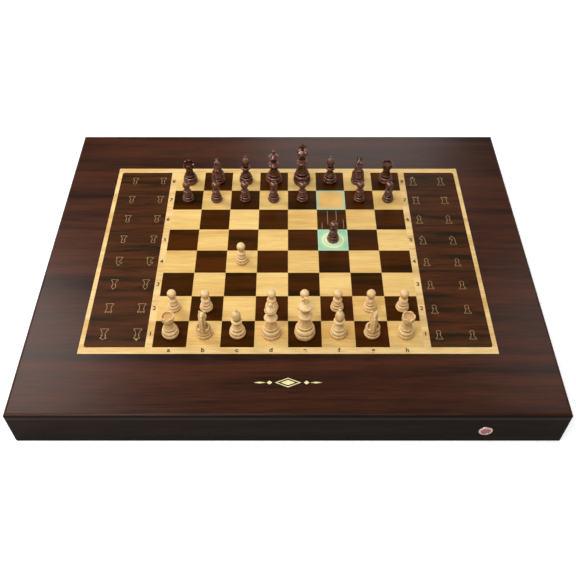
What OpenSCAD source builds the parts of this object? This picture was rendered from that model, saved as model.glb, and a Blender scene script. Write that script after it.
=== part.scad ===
// Electronic chess computer that moves its own pieces.
// A wooden case holds an inlaid board, a sensor board and a two-axis gantry with an electromagnet.
// Origin: middle of the case on the surface it stands on. +X right, -Y front, +Z up. Millimetres.

/* [Case] */
// Width of the case, left to right
case_w = 626; // [620:1:680]
// Depth of the case, front to back
case_d = 503; // [498:1:560]
// Height of the case without its feet
case_h = 52.5; // [52:0.5:70]
// Thickness of the four side boards
wall_t = 15; // [12:0.5:18]
// Thickness of the top panel
top_t = 8; // [7:0.5:10]
// Rounding of the top edges
edge_r = 4; // [1:0.5:6]
// Rounding of the upright corners
corner_r = 3; // [1:0.5:5]
// Thickness of the base panel
base_t = 6; // [5:0.5:7]
// Width of the ledge that the base panel sits under
ledge_w = 8; // [7:0.5:9]

/* [Field] */
// Side of one square
cell = 40; // [38:0.25:40.5]
// How far the field lies behind the middle of the case
field_shift = 3; // [0:0.5:5]
// Thickness of the inlaid wood
inlay_t = 1.5; // [1:0.1:2]
// Fine groove round the border and the trays
groove = 0.2; // [0.1:0.05:0.4]
// Width of the strip with the rank numbers
strip_w = 8.5; // [6:0.5:9]
// Width of a tray for taken pieces
tray_w = 72.5; // [70:0.5:74]
// Rounding of a tray's outer corners
tray_r = 3.5; // [1:0.5:6]
// Width of the border at the sides
side_strip = 5.5; // [4:0.5:7]
// Width of the border at the front
front_strip = 9.5; // [8:0.5:12]
// Width of the border at the back
rear_strip = 9; // [8:0.5:12]
// Side of the light window under each square
window = 32; // [24:1:34]

/* [Feet and screws] */
// Diameter of a rubber foot
foot_d = 18; // [14:1:24]
// Height that a foot stands below the case
foot_drop = 2; // [1:0.5:4]
// Depth of a foot's seat in the base panel
foot_seat = 1; // [0.5:0.5:2]
// Distance from a foot's middle to the case's sides
foot_inset = 42; // [36:1:60]
// Shank diameter of a base screw
screw_d = 3; // [2.5:0.5:3.5]
// Head diameter of a base screw
screw_head_d = 6; // [5:0.5:6.5]
// Length of a base screw
screw_len = 16; // [12:1:20]

/* [Power button] */
// Diameter of the button's bezel
bezel_d = 16; // [15:0.5:18]
// Thickness of the bezel's rim in front of the case
bezel_lip = 1.2; // [0.8:0.1:2]
// Diameter of the barrel behind the rim
barrel_d = 12.4; // [12:0.2:13]
// Diameter of the cap that is pressed
cap_d = 10.8; // [9:0.2:11]
// Thickness of the cap
cap_t = 3.5; // [2.5:0.25:4]
// How far the cap's face lies behind the rim
cap_sunk = 0.2; // [0:0.1:0.5]
// How far the cap travels
button_travel = 1.5; // [0.5:0.1:2]
// Place of the button right of the middle
button_x = 222; // [180:1:230]
// Height of the button above the case's underside
button_h = 22.5; // [18:0.5:26]

/* [Charging socket] */
// Thickness of the socket's plate behind the case
plate_t = 1.2; // [0.8:0.1:2]
// Width of the socket's plate
plate_w = 20; // [18:0.5:24]
// Height of the socket's plate
plate_h = 10; // [9:0.5:12]
// Width of the plug's slot
slot_w = 9.2; // [9:0.1:10]
// Height of the plug's slot
slot_h = 3.4; // [3:0.1:3.8]
// Depth of the plug's slot
slot_deep = 7; // [6:0.5:9]
// Place of the socket right of the middle
socket_x = 130; // [110:1:150]

/* [Drive] */
// Diameter of the two rods that run front to back
y_rod_d = 8; // [6:0.5:8]
// Diameter of the two rods of the beam
x_rod_d = 6; // [5:0.5:6]
// Distance between the two rods of the beam
x_rod_gap = 36; // [33:0.5:40]
// Pitch radius of the belt pulleys
pitch_r = 6.3662; // [6:0.01:6.6]
// Thickness of a belt
belt_t = 1.4; // [1:0.1:1.5]
// Width of a belt
belt_w = 5; // [4:0.5:5.5]
// Diameter of the drive shafts and axles
shaft_d = 5; // [4:0.5:5]
// Side of a stepping motor
motor_w = 35.2; // [32:0.2:36]
// Length of the motor on the beam
x_motor_len = 16.5; // [14:0.5:17]
// Length of the motor at the back
y_motor_len = 34; // [26:1:40]
// Air between the motor at the back and the top panel above it
motor_air = 4; // [2:0.5:5]
// Room between a carriage and the side board
carriage_gap = 5.7; // [3:0.1:8]
// Room between a stand and the carriage at the end of its travel
end_room = 12; // [8:1:14]
// Diameter of the electromagnet
magnet_d = 25; // [20:0.5:26]
// Height of the electromagnet
magnet_h = 22; // [18:0.5:22]
// Air gap between the electromagnet and the sensors
magnet_gap = 0.6; // [0.4:0.1:1]
// File that the electromagnet rests under, 0 to 7 for a to h
rest_file = 5; // [0:1:7]
// Rank that the electromagnet rests under, 0 to 7 for 1 to 8
rest_rank = 4; // [0:1:7]

/* [Electronics] */
// Length of the control board
control_len = 110; // [90:1:130]
// Depth of the control board, front to back
control_deep = 32; // [26:1:36]
// Diameter of a battery cell
battery_d = 18.4; // [14:0.2:20]
// Length of a battery cell
battery_len = 65; // [50:1:70]
// Left end of the battery pack, left of the middle
battery_x = 140; // [120:1:180]

/* [Chess pieces] */
// Thickness of the felt under a piece
felt_t = 0.8; // [0.5:0.1:1.5]
// Diameter of the magnet in a piece
slug_d = 8; // [6:0.5:9]
// Height of the magnet in a piece
slug_h = 4; // [3:0.5:5]
// Height of the drum of a king's base, the pattern for the other bases
drum_h = 7; // [6:0.25:8]
// Height of the rounded shoulder on a king's drum
shoulder_h = 6.6; // [6:0.2:7]
// Height of the ring on a king's shoulder
ring_h = 2.6; // [2:0.1:3]
// Base diameter of a king
king_base = 25; // [23:0.5:26]
// Height of a king
king_h = 66; // [62:0.5:70]
// Base diameter of a queen
queen_base = 23.2; // [21:0.2:25]
// Height of a queen
queen_h = 55; // [52:0.5:60]
// Base diameter of a bishop
bishop_base = 20; // [19:0.2:22]
// Height of a bishop
bishop_h = 45.5; // [44:0.5:50]
// Base diameter of a knight
knight_base = 19.8; // [19:0.2:22]
// Height of a knight
knight_h = 44.5; // [42:0.5:48]
// Base diameter of a rook
rook_base = 20.6; // [19:0.2:22]
// Height of a rook
rook_h = 33.5; // [32:0.5:38]
// Base diameter of a pawn
pawn_base = 16.4; // [15.5:0.1:18]
// Height of a pawn
pawn_h = 32.4; // [30:0.2:35]

/* [Hidden] */
$fn = 48;
CASE_NODES = [
    "top_panel", "field_border", "light_squares", "dark_squares", "capture_trays",
    "front_board", "rear_board", "side_boards", "base_panel", "rubber_feet", "base_screws",
    "button_bezel", "button_cap", "sensor_board", "control_board", "battery_pack",
    "y_rails", "gantry_beam", "trolley", "electromagnet", "x_motor", "x_pulley", "x_idler",
    "x_belt", "y_motor", "y_shaft", "y_idlers", "y_belts"
];
FILES = "abcdefgh";
// Kinds of the pieces on the back rank, from file a to file h
RANK_KINDS = ["rook", "knight", "bishop", "queen", "king", "bishop", "knight", "rook"];
// Rank of each pawn, from file a to file h: one pawn of each side has moved two squares
WHITE_PAWN_RANKS = [1, 1, 3, 1, 1, 1, 1, 1];
BLACK_PAWN_RANKS = [6, 6, 6, 6, 6, 4, 6, 6];
// Each piece: node name, kind, side, file, rank
PIECES = concat(
    [for (f = [0:7]) [str("white_", RANK_KINDS[f], "_", FILES[f]), RANK_KINDS[f], "white", f, 0]],
    [for (f = [0:7]) [str("white_pawn_", FILES[f]), "pawn", "white", f, WHITE_PAWN_RANKS[f]]],
    [for (f = [0:7]) [str("black_", RANK_KINDS[f], "_", FILES[f]), RANK_KINDS[f], "black", f, 7]],
    [for (f = [0:7]) [str("black_pawn_", FILES[f]), "pawn", "black", f, BLACK_PAWN_RANKS[f]]]
);

// Colours
ROSEWOOD = "#4a2c22";
DARK_WOOD = "#3c2312";
MAPLE = "#e1be78";
BOXWOOD = "#ebcda5";
EBONY = "#5a2d23";
STEEL = "#b8bcc0";
PLASTIC = "#2b2b2e";
COPPER = "#b5652f";
CIRCUIT = "#1f5a3c";

// Clearances
slip = 0.05;      // radial, round a shaft, screw or cap that fits its hole
seat = 0.2;       // beside a panel or foot that lies in its seat
clear = 0.3;      // between pieces that move past each other
glue = 0.05;      // a line of glue between the parts of a chess piece
eps = 1;          // how far a cutting body runs past a face

// Heights, from the surface that the case stands on
bottom_z = foot_drop;
top_z = bottom_z + case_h;
wall_top_z = top_z - top_t;
base_top_z = bottom_z + base_t;
inlay_z = top_z - inlay_t;
web_t = 3;                              // wood left between the inlay and the sensor board
web_z = inlay_z - web_t;
pcb_t = 1.6;
pcb_z = web_z - pcb_t;
sensor_h = 0.8;
magnet_top_z = pcb_z - sensor_h - magnet_gap;

// The field
board_w = 8 * cell;
border_x = board_w / 2 + strip_w + tray_w + side_strip;
border_y0 = -board_w / 2 - front_strip;
border_y1 = board_w / 2 + rear_strip;
tray_x0 = board_w / 2 + strip_w;
pcb_w = 12 * cell + 4;
pcb_d = 8 * cell + 4;
function file_x(f) = (f - 3.5) * cell;
function rank_y(r) = field_shift + (r - 3.5) * cell;

// Inside of the case
room_x = case_w / 2 - wall_t;
room_y = case_d / 2 - wall_t;

// Drive: the belts at the sides stand upright, and the beam's belt lies flat
rest_x = file_x(rest_file);
rest_y = rank_y(rest_rank);
drive_z = base_top_z + motor_w / 2;     // height of the cross shaft, the idlers and the beam's rods
pulley_r = pitch_r - 0.27;              // outside of the teeth
belt_in_r = pulley_r + 0.1;
belt_out_r = belt_in_r + belt_t;
flange_r = belt_out_r + 0.4;
flange_t = 1;
pulley_w = belt_w + 2 * clear + 2 * flange_t;
trolley_half = 20;                      // half of the trolley's length along the beam
rim_in = 1.5;                           // beside the beam's motor, towards the middle
rim_out = 3;                            // beside the beam's motor, towards the side board
belt_room = 1.5;                        // between a side belt's pulley and the carriage beside it
rod_wall = 2.5;                         // under and over the side rods
block_wall = 4;                         // over the beam's rods and the side belts
carriage_x1 = room_x - carriage_gap;
carriage_x0 = carriage_x1 - motor_w - rim_in - rim_out;
side_belt_x = carriage_x0 - belt_room - pulley_w / 2;
carriage_half = 24;                     // half of a carriage's length front to back
carriage_z0 = base_top_z + belt_room;
carriage_z1 = drive_z + belt_out_r + block_wall;
y_rod_x = carriage_x0 + y_rod_d / 2 + 2 * rod_wall;
y_rod_z = base_top_z + y_rod_d / 2 + rod_wall;
shelf_z1 = y_rod_z + y_rod_d / 2 + rod_wall;  // top of the shelf under the beam's motor
shelf_t = 2;
x_axis_x = carriage_x0 + motor_w / 2 + rim_in;   // axis of the beam's motor, and of the idler at its other end
x_axis_dy = carriage_half + motor_w / 2;      // the axis lies this far behind the trolley
x_belt_z = shelf_z1 + x_motor_len + clear + pulley_w / 2;
rear_y = room_y - motor_w / 2 - 1;      // axis of the cross shaft
stand_half = 8;
front_y = rank_y(0) - carriage_half - end_room - stand_half;   // axis of the front idlers
rod_hold = 6;                           // how deep the rods' ends sit in the stands and carriages
stand_x1 = y_rod_x + y_rod_d / 2 + rod_hold;
jaw_t = 3;                              // thickness of the trolley's jaws on the belt
jaw_half = 8;
magnet_wall = 2.4;                      // round the electromagnet
magnet_pocket_z = magnet_top_z - magnet_h;

// Power button and charging socket
button_z = bottom_z + button_h;
button_face_y = -case_d / 2 - bezel_lip + cap_sunk;
barrel_len = wall_t + 5;
cap_room = cap_sunk + cap_t + button_travel + 1;
socket_z = base_top_z + 9;
socket_body_w = slot_w + 4;
socket_body_h = slot_h + 3;

// Screws and feet
screw_x = case_w / 2 - wall_t + ledge_w / 2;
screw_y = case_d / 2 - wall_t + ledge_w / 2;
screw_span_x = 2 * case_w / 5;
screw_span_y = 3 * case_d / 10;
SCREWS = concat(
    [for (x = [-1, 0, 1], s = [-1, 1]) [x * screw_span_x, s * screw_y]],
    [for (y = [-1, 0, 1], s = [-1, 1]) [s * screw_x, y * screw_span_y]]
);
foot_x = case_w / 2 - foot_inset;
foot_y = case_d / 2 - foot_inset;
FEET = [for (x = [-1, 1], y = [-1, 1]) [x * foot_x, y * foot_y]];

// ---------- shared shapes ----------

// A block given by its lowest and highest corners
module block(low, high) {
    translate(low) cube(high - low);
}

// A rectangle with true round corners
module round_rect(x0, y0, x1, y1, r) {
    translate([x0 + r, y0]) square([x1 - x0 - 2 * r, y1 - y0]);
    translate([x0, y0 + r]) square([x1 - x0, y1 - y0 - 2 * r]);
    for (x = [x0 + r, x1 - r], y = [y0 + r, y1 - r]) translate([x, y]) circle(r);
}

// A round bar along X, Y or Z, from its start
module bar_x(from, len, r) {
    translate(from) rotate([0, 90, 0]) cylinder(h = len, r = r);
}
module bar_y(from, len, r) {
    translate(from) rotate([-90, 0, 0]) cylinder(h = len, r = r);
}
module bar_z(from, len, r) {
    translate(from) cylinder(h = len, r = r);
}

// A toothed-belt pulley with two flanges, centred, its axis along Z
module pulley() {
    translate([0, 0, -pulley_w / 2]) {
        cylinder(h = pulley_w, r = pulley_r);
        cylinder(h = flange_t, r = flange_r);
        translate([0, 0, pulley_w - flange_t]) cylinder(h = flange_t, r = flange_r);
    }
}

// A flat belt loop round two pulleys that stand span apart along X, centred, its axes along Z
module belt_loop(span) {
    translate([0, 0, -belt_w / 2]) linear_extrude(belt_w) difference() {
        belt_outline(span, belt_out_r);
        belt_outline(span, belt_in_r);
    }
}
module belt_outline(span, r) {
    translate([-span / 2, -r]) square([span, 2 * r]);
    for (s = [-1, 1]) translate([s * span / 2, 0]) circle(r);
}

// ---------- case ----------

// The case's outline seen from above
module case_outline() {
    round_rect(-case_w / 2, -case_d / 2, case_w / 2, case_d / 2, corner_r);
}

// What rounds the top edge that faces +X, for a panel of half width w and length len
module edge_cutter(w, len) {
    translate([w - edge_r, -len / 2, top_z - edge_r]) difference() {
        cube([edge_r + eps, len, edge_r + eps]);
        rotate([-90, 0, 0]) cylinder(h = len, r = edge_r);
    }
}

module top_panel() color(ROSEWOOD) difference() {
    translate([0, 0, wall_top_z]) linear_extrude(top_t) case_outline();
    for (a = [0, 180]) rotate([0, 0, a]) edge_cutter(case_w / 2, case_d + 2 * eps);
    for (a = [90, 270]) rotate([0, 0, a]) edge_cutter(case_d / 2, case_w + 2 * eps);
    translate([0, field_shift, 0]) {
        block([-border_x - groove, border_y0 - groove, inlay_z],
              [border_x + groove, border_y1 + groove, top_z + eps]);
        block([-pcb_w / 2 - seat, -pcb_d / 2 - seat, wall_top_z - eps],
              [pcb_w / 2 + seat, pcb_d / 2 + seat, web_z]);
    }
    // air over the motor at the back
    block([-y_motor_len / 2 - clear, rear_y - motor_w / 2 - clear, drive_z],
          [y_motor_len / 2 + clear, rear_y + motor_w / 2 + clear, base_top_z + motor_w + motor_air]);
    for (f = [0:7], r = [0:7]) translate([file_x(f), rank_y(r), web_z - eps])
        block([-window / 2, -window / 2, 0], [window / 2, window / 2, web_t + 2 * eps]);
}

// Outline of one tray, on the right
module tray_outline(gap) {
    difference() {
        round_rect(tray_x0 - 2 * tray_r + gap, -board_w / 2 + gap,
                   tray_x0 + tray_w - gap, board_w / 2 - gap, tray_r);
        translate([tray_x0 - 4 * tray_r + gap, -board_w]) square([4 * tray_r, 2 * board_w]);
    }
}

module field_border() color(MAPLE) translate([0, field_shift, inlay_z]) linear_extrude(inlay_t)
    difference() {
        translate([-border_x, border_y0]) square([2 * border_x, border_y1 - border_y0]);
        square(board_w, center = true);
        for (a = [0, 1]) mirror([a, 0]) tray_outline(0);
    }

module capture_trays() color(DARK_WOOD) translate([0, field_shift, inlay_z])
    for (a = [0, 1]) mirror([a, 0, 0]) linear_extrude(inlay_t) tray_outline(groove);

// Squares whose file and rank numbers add up to an odd (1) or even (0) number
module squares(parity) {
    for (f = [0:7], r = [0:7]) if ((f + r) % 2 == parity)
        translate([file_x(f) - cell / 2, rank_y(r) - cell / 2, inlay_z]) cube([cell, cell, inlay_t]);
}
module light_squares() color(MAPLE) squares(1);
module dark_squares() color(DARK_WOOD) squares(0);

// All four side boards in one, with the ledge for the base panel and the screws' holes
module wall_ring() {
    difference() {
        translate([0, 0, bottom_z]) linear_extrude(wall_top_z - bottom_z) case_outline();
        block([-room_x, -room_y, 0], [room_x, room_y, top_z]);
        block([-room_x - ledge_w, -room_y - ledge_w, 0], [room_x + ledge_w, room_y + ledge_w, base_top_z]);
        for (p = SCREWS) bar_z([p[0], p[1], base_top_z - eps], screw_len - base_t + eps + 1,
                               screw_d / 2 + slip);
    }
}

// The mitred share of the ring on the front (-1) or back (1), or on the left (-1) or right (1)
module mitre_y(s) {
    far = case_d / 2 + eps;
    linear_extrude(top_z) polygon([
        [0, s * (case_d / 2 - case_w / 2)],
        [-case_w / 2 - eps, s * far],
        [case_w / 2 + eps, s * far]
    ]);
}
module mitre_x(s) {
    far = case_w / 2 + eps;
    linear_extrude(top_z) polygon([
        [s * (case_w / 2 - case_d / 2), 0],
        [s * far, -case_d / 2 - eps],
        [s * far, case_d / 2 + eps]
    ]);
}

module front_board() color(ROSEWOOD) difference() {
    intersection() {
        wall_ring();
        mitre_y(-1);
    }
    bar_y([button_x, -case_d / 2 - eps, button_z], wall_t + 2 * eps, barrel_d / 2 + 2 * slip);
}

module rear_board() color(ROSEWOOD) difference() {
    intersection() {
        wall_ring();
        mitre_y(1);
    }
    translate([socket_x, 0, socket_z])
        block([-socket_body_w / 2 - seat, room_y - eps, -socket_body_h / 2 - seat],
              [socket_body_w / 2 + seat, case_d / 2 + eps, socket_body_h / 2 + seat]);
}

module side_boards() color(ROSEWOOD) for (s = [-1, 1]) intersection() {
    wall_ring();
    mitre_x(s);
}

module base_panel() color(DARK_WOOD) difference() {
    block([-room_x - ledge_w + seat, -room_y - ledge_w + seat, bottom_z],
          [room_x + ledge_w - seat, room_y + ledge_w - seat, base_top_z]);
    for (p = SCREWS) translate([p[0], p[1], bottom_z]) screw_space(slip, eps);
    for (p = FEET) bar_z([p[0], p[1], bottom_z - eps], foot_seat + eps, foot_d / 2 + seat);
}

// A countersunk screw, its head's face at z = 0 and its tip up; the hole for it is wider by gap
module screw_space(gap, past) {
    head_h = (screw_head_d - screw_d) / 2;
    translate([0, 0, -past]) cylinder(h = past + 0.01, r = screw_head_d / 2 + gap);
    cylinder(h = head_h, r1 = screw_head_d / 2 + gap, r2 = screw_d / 2 + gap);
    cylinder(h = screw_len, r = screw_d / 2 + gap);
}

module base_screws() color(STEEL) for (p = SCREWS) translate([p[0], p[1], bottom_z]) difference() {
    union() {
        cylinder(h = (screw_head_d - screw_d) / 2, r1 = screw_head_d / 2, r2 = screw_d / 2);
        cylinder(h = screw_len, r = screw_d / 2);
    }
    for (a = [0, 90]) rotate([0, 0, a]) cube([screw_head_d * 0.6, 0.8, 1.6], center = true);
}

module rubber_feet() color(PLASTIC) for (p = FEET)
    bar_z([p[0], p[1], 0], foot_drop + foot_seat, foot_d / 2);

// ---------- power button ----------

module button_bezel() color(STEEL) difference() {
    union() {
        bar_y([button_x, -case_d / 2 - bezel_lip, button_z], bezel_lip, bezel_d / 2);
        bar_y([button_x, -case_d / 2 - bezel_lip / 2, button_z], barrel_len, barrel_d / 2);
    }
    bar_y([button_x, -case_d / 2 - bezel_lip - eps, button_z], cap_room + eps, cap_d / 2 + slip);
}

module button_cap() color("#d8a39a")
    bar_y([button_x, button_face_y, button_z], cap_t, cap_d / 2);

// ---------- electronics ----------

module sensor_board() color(CIRCUIT) translate([0, field_shift, 0]) {
    block([-pcb_w / 2, -pcb_d / 2, pcb_z], [pcb_w / 2, pcb_d / 2, web_z]);
    for (f = [0:7], r = [0:7]) translate([file_x(f), rank_y(r) - field_shift, web_z])
        block([-2.5, -2.5, -0.1], [2.5, 2.5, 1.2]);
    for (c = [0:11], r = [0:7])
        translate([(c - 5.5) * cell, rank_y(r) - field_shift, pcb_z - sensor_h])
            block([-2, -1.5, 0], [2, 1.5, sensor_h + 0.1]);
}

module control_board() color(CIRCUIT) {
    x0 = socket_x - control_len / 2;
    x1 = socket_x + control_len / 2;
    y1 = room_y - 2;
    y0 = y1 - control_deep;
    z0 = socket_z - socket_body_h / 2 - pcb_t;
    // circuit board with its chips, on four posts
    difference() {
        union() {
            block([x0, y0, z0], [x1, y1, z0 + pcb_t]);
            for (x = [x0 + 5, x1 - 5], y = [y0 + 5, y1 - 5]) bar_z([x, y, base_top_z], z0 - base_top_z, 3);
            block([x0 + 14, y0 + 8, z0 + pcb_t], [x0 + 28, y0 + 22, z0 + pcb_t + 1.6]);
            block([x0 + 36, y0 + 12, z0 + pcb_t], [x0 + 42, y0 + 17, z0 + pcb_t + 1.4]);
            for (i = [0:1]) bar_z([x1 - 12 - 11 * i, y0 + 8, z0 + pcb_t], 6, 4);
        }
    }
    // charging socket through the rear board
    difference() {
        union() {
            translate([socket_x, case_d / 2, socket_z]) rotate([-90, 0, 0]) linear_extrude(plate_t)
                round_rect(-plate_w / 2, -plate_h / 2, plate_w / 2, plate_h / 2, plate_h / 2 - 0.01);
            translate([socket_x, 0, socket_z])
                block([-socket_body_w / 2, room_y - 10, -socket_body_h / 2],
                      [socket_body_w / 2, case_d / 2, socket_body_h / 2]);
        }
        translate([socket_x, case_d / 2 + plate_t + eps, socket_z]) rotate([90, 0, 0])
            linear_extrude(slot_deep + eps)
            round_rect(-slot_w / 2, -slot_h / 2, slot_w / 2, slot_h / 2, slot_h / 2 - 0.01);
    }
    // tongue in the slot
    translate([socket_x, case_d / 2 + plate_t, socket_z])
        block([-slot_w / 2 + 1.4, -slot_deep, -0.35], [slot_w / 2 - 1.4, -1, 0.35]);
}

// Four round cells in two rows, in one wrapping
module battery_pack() color("#3b5f8f") {
    cell_r = battery_d / 2;
    mid_y = -room_y + 2 * cell_r + 3;
    lead_x = 2 * battery_len + 1 - battery_x;   // where the block for the leads starts
    for (i = [0, 1], s = [-1, 1])
        bar_x([i * (battery_len + 1) - battery_x, mid_y + s * (cell_r - 0.1), base_top_z + cell_r],
              battery_len + 0.5, cell_r);
    block([-battery_x, mid_y - cell_r, base_top_z], [lead_x + 0.5, mid_y + cell_r, base_top_z + cell_r]);
    block([lead_x, mid_y - 8, base_top_z], [lead_x + 9, mid_y + 8, base_top_z + 6]);
}

// ---------- rails and belts at the sides ----------

// A stand on the right that holds an end of the rod and the axis above it
module rail_stand(y) {
    difference() {
        block([carriage_x0 + 1, y - stand_half, base_top_z],
              [stand_x1, y + stand_half, drive_z + shaft_d / 2 + 2 * rod_wall]);
        bar_x([carriage_x0, y, drive_z], stand_x1 - carriage_x0 + eps, shaft_d / 2 + slip);
        rod_y0 = y < 0 ? y + stand_half - rod_hold : y - stand_half - eps;
        bar_y([y_rod_x, rod_y0, y_rod_z], rod_hold + eps, y_rod_d / 2 + slip);
    }
}

module y_rails() color(STEEL) for (a = [0, 1]) mirror([a, 0, 0]) {
    rod_y0 = front_y + stand_half - rod_hold + slip;
    rod_y1 = rear_y - stand_half + rod_hold - slip;
    bar_y([y_rod_x, rod_y0, y_rod_z], rod_y1 - rod_y0, y_rod_d / 2);
    rail_stand(front_y);
    rail_stand(rear_y);
}

module y_motor() color(PLASTIC) difference() {
    block([-y_motor_len / 2, rear_y - motor_w / 2, base_top_z],
          [y_motor_len / 2, rear_y + motor_w / 2, drive_z + motor_w / 2]);
    bar_x([-y_motor_len / 2 - eps, rear_y, drive_z], y_motor_len + 2 * eps, shaft_d / 2 + slip);
}

module y_shaft() color(STEEL) {
    half = y_rod_x + 4;
    bar_x([-half, rear_y, drive_z], 2 * half, shaft_d / 2);
    for (s = [-1, 1]) translate([s * side_belt_x, rear_y, drive_z]) rotate([0, 90, 0]) pulley();
}

module y_idlers() color(STEEL) for (a = [0, 1]) mirror([a, 0, 0]) {
    bar_x([side_belt_x - pulley_w / 2, front_y, drive_z], y_rod_x + 4 - side_belt_x + pulley_w / 2, shaft_d / 2);
    translate([side_belt_x, front_y, drive_z]) rotate([0, 90, 0]) pulley();
}

module y_belts() color(PLASTIC) for (s = [-1, 1])
    translate([s * side_belt_x, (rear_y + front_y) / 2, drive_z])
        rotate([90, 0, 90]) belt_loop(rear_y - front_y);

// ---------- beam ----------

// A carriage on the right-hand rod, with its shelf and its jaws on the side belt
module carriage() {
    difference() {
        union() {
            block([carriage_x0, rest_y - carriage_half, carriage_z0], [carriage_x1, rest_y + carriage_half, carriage_z1]);
            block([carriage_x0, rest_y + carriage_half - 1, shelf_z1 - shelf_t],
                  [carriage_x1, rest_y + x_axis_dy + motor_w / 2, shelf_z1]);
            for (z = [drive_z + belt_out_r + clear, drive_z + belt_in_r - clear - 1.5])
                block([side_belt_x - belt_w / 2, rest_y - 6, z], [carriage_x0 + 1, rest_y + 6, z + 1.5]);
        }
        bar_y([y_rod_x, rest_y - carriage_half - eps, y_rod_z], 2 * carriage_half + 2 * eps, y_rod_d / 2 + slip);
        for (s = [-1, 1]) bar_x([carriage_x0 - eps, rest_y + s * x_rod_gap / 2, drive_z],
                                5 * rod_hold + eps, x_rod_d / 2 + slip);
    }
}

module gantry_beam() color(PLASTIC) {
    carriage();
    mirror([1, 0, 0]) carriage();
    for (s = [-1, 1]) bar_x([-carriage_x0 - rod_hold * 4, rest_y + s * x_rod_gap / 2, drive_z],
                            2 * (carriage_x0 + rod_hold * 4), x_rod_d / 2);
    // axle of the idler, on the left shelf
    bar_z([-x_axis_x, rest_y + x_axis_dy, shelf_z1 - 1], x_belt_z + pulley_w / 2 - shelf_z1 + 1, shaft_d / 2);
    bar_z([-x_axis_x, rest_y + x_axis_dy, shelf_z1 - 1], x_belt_z - pulley_w / 2 - clear - shelf_z1 + 1, shaft_d);
}

module x_motor() color(PLASTIC) difference() {
    translate([x_axis_x, rest_y + x_axis_dy, shelf_z1])
        block([-motor_w / 2, -motor_w / 2 + clear, 0], [motor_w / 2, motor_w / 2, x_motor_len]);
    bar_z([x_axis_x, rest_y + x_axis_dy, shelf_z1 + 2], x_motor_len, shaft_d / 2 + slip);
}

module x_pulley() color(STEEL) translate([x_axis_x, rest_y + x_axis_dy, 0]) {
    bar_z([0, 0, shelf_z1 + 3], x_belt_z + pulley_w / 2 - shelf_z1 - 3, shaft_d / 2);
    translate([0, 0, x_belt_z]) pulley();
}

module x_idler() color(STEEL) translate([-x_axis_x, rest_y + x_axis_dy, x_belt_z]) difference() {
    pulley();
    bar_z([0, 0, -pulley_w], 2 * pulley_w, shaft_d / 2 + slip);
}

module x_belt() color(PLASTIC)
    translate([0, rest_y + x_axis_dy, x_belt_z]) belt_loop(2 * x_axis_x);

module trolley() color("#c8c8c4") translate([rest_x, rest_y, 0]) difference() {
    body_z0 = drive_z - x_rod_d / 2 - jaw_t;
    body_z1 = drive_z + x_rod_d / 2 + block_wall;
    run_y = x_axis_dy - belt_out_r;         // the belt's nearer run lies behind this
    jaw_y = run_y + belt_t + clear;         // front face of the jaw behind the belt
    jaw_z1 = x_belt_z + belt_w / 2;
    union() {
        block([-trolley_half, -carriage_half, body_z0], [trolley_half, carriage_half, body_z1]);
        block([-jaw_half, carriage_half - 1, body_z1 - block_wall], [jaw_half, jaw_y + jaw_t, body_z1]);
        block([-jaw_half, run_y - clear - jaw_t, body_z1 - 1], [jaw_half, run_y - clear, jaw_z1]);
        block([-jaw_half, jaw_y, body_z1 - 1], [jaw_half, jaw_y + jaw_t, jaw_z1]);
        bar_z([0, 0, body_z1 - 1], magnet_top_z - body_z1 - 3, magnet_d / 2 + magnet_wall);
    }
    bar_z([0, 0, magnet_pocket_z], magnet_h + eps, magnet_d / 2 + slip);
    for (s = [-1, 1]) bar_x([-trolley_half - eps, s * x_rod_gap / 2, drive_z],
                            2 * trolley_half + 2 * eps, x_rod_d / 2 + slip);
}

// Iron cup with a coil groove in its upper face
module electromagnet() color(COPPER) translate([rest_x, rest_y, magnet_pocket_z]) difference() {
    cylinder(h = magnet_h, r = magnet_d / 2);
    translate([0, 0, magnet_h - 1]) difference() {
        cylinder(h = 1 + eps, r = magnet_d / 2 - 2);
        translate([0, 0, -eps]) cylinder(h = 1 + 3 * eps, r = magnet_d / 5);
    }
}

// ---------- chess pieces ----------
// Each is drawn on z = 0 and turned about Z. Profiles lie in the X-Y plane, Y being the height.

// A disc with a rounded rim: d across, from z to z + h, its rim an arc of radius r
module disc_profile(d, z, h, r) {
    intersection() {
        translate([d / 2 - r, z + h / 2]) circle(r);
        translate([0, z]) square([d, h]);
    }
    translate([0, z]) square([d / 2 - r, h]);
}

// One half of a hollow-sided stem, from radius r_end at z_end to r_waist at z_waist
module cove_profile(r_end, r_waist, z_end, z_waist) {
    a = r_end - r_waist;
    dz = abs(z_waist - z_end);
    arc_r = (a * a + dz * dz) / (2 * a);
    difference() {
        translate([0, min(z_end, z_waist)]) square([r_end, dz]);
        translate([r_waist + arc_r, z_waist]) circle(arc_r, $fn = 180);
    }
}

// A rounded shoulder from radius r_low at z, where it is upright, in to r_top at z + h
module shoulder_profile(r_low, r_top, z, h) {
    a = r_low - r_top;
    arc_r = (a * a + h * h) / (2 * a);
    intersection() {
        translate([r_low - arc_r, z]) circle(arc_r, $fn = 180);
        translate([0, z]) square([r_low, h]);
    }
}

foot_h = 0.3;                           // plain foot under the drum
foot_in = 0.8;                          // how far the foot and the shoulder stand in from the drum

// Every base has the shape of the king's base: how large it is beside that one, and how high it ends
function base_scale(base_d) = base_d / king_base;
function shoulder_top(base_d) = felt_t + foot_h + (drum_h + shoulder_h) * base_scale(base_d);
function base_top(base_d) = shoulder_top(base_d) + ring_h * base_scale(base_d);

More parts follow.
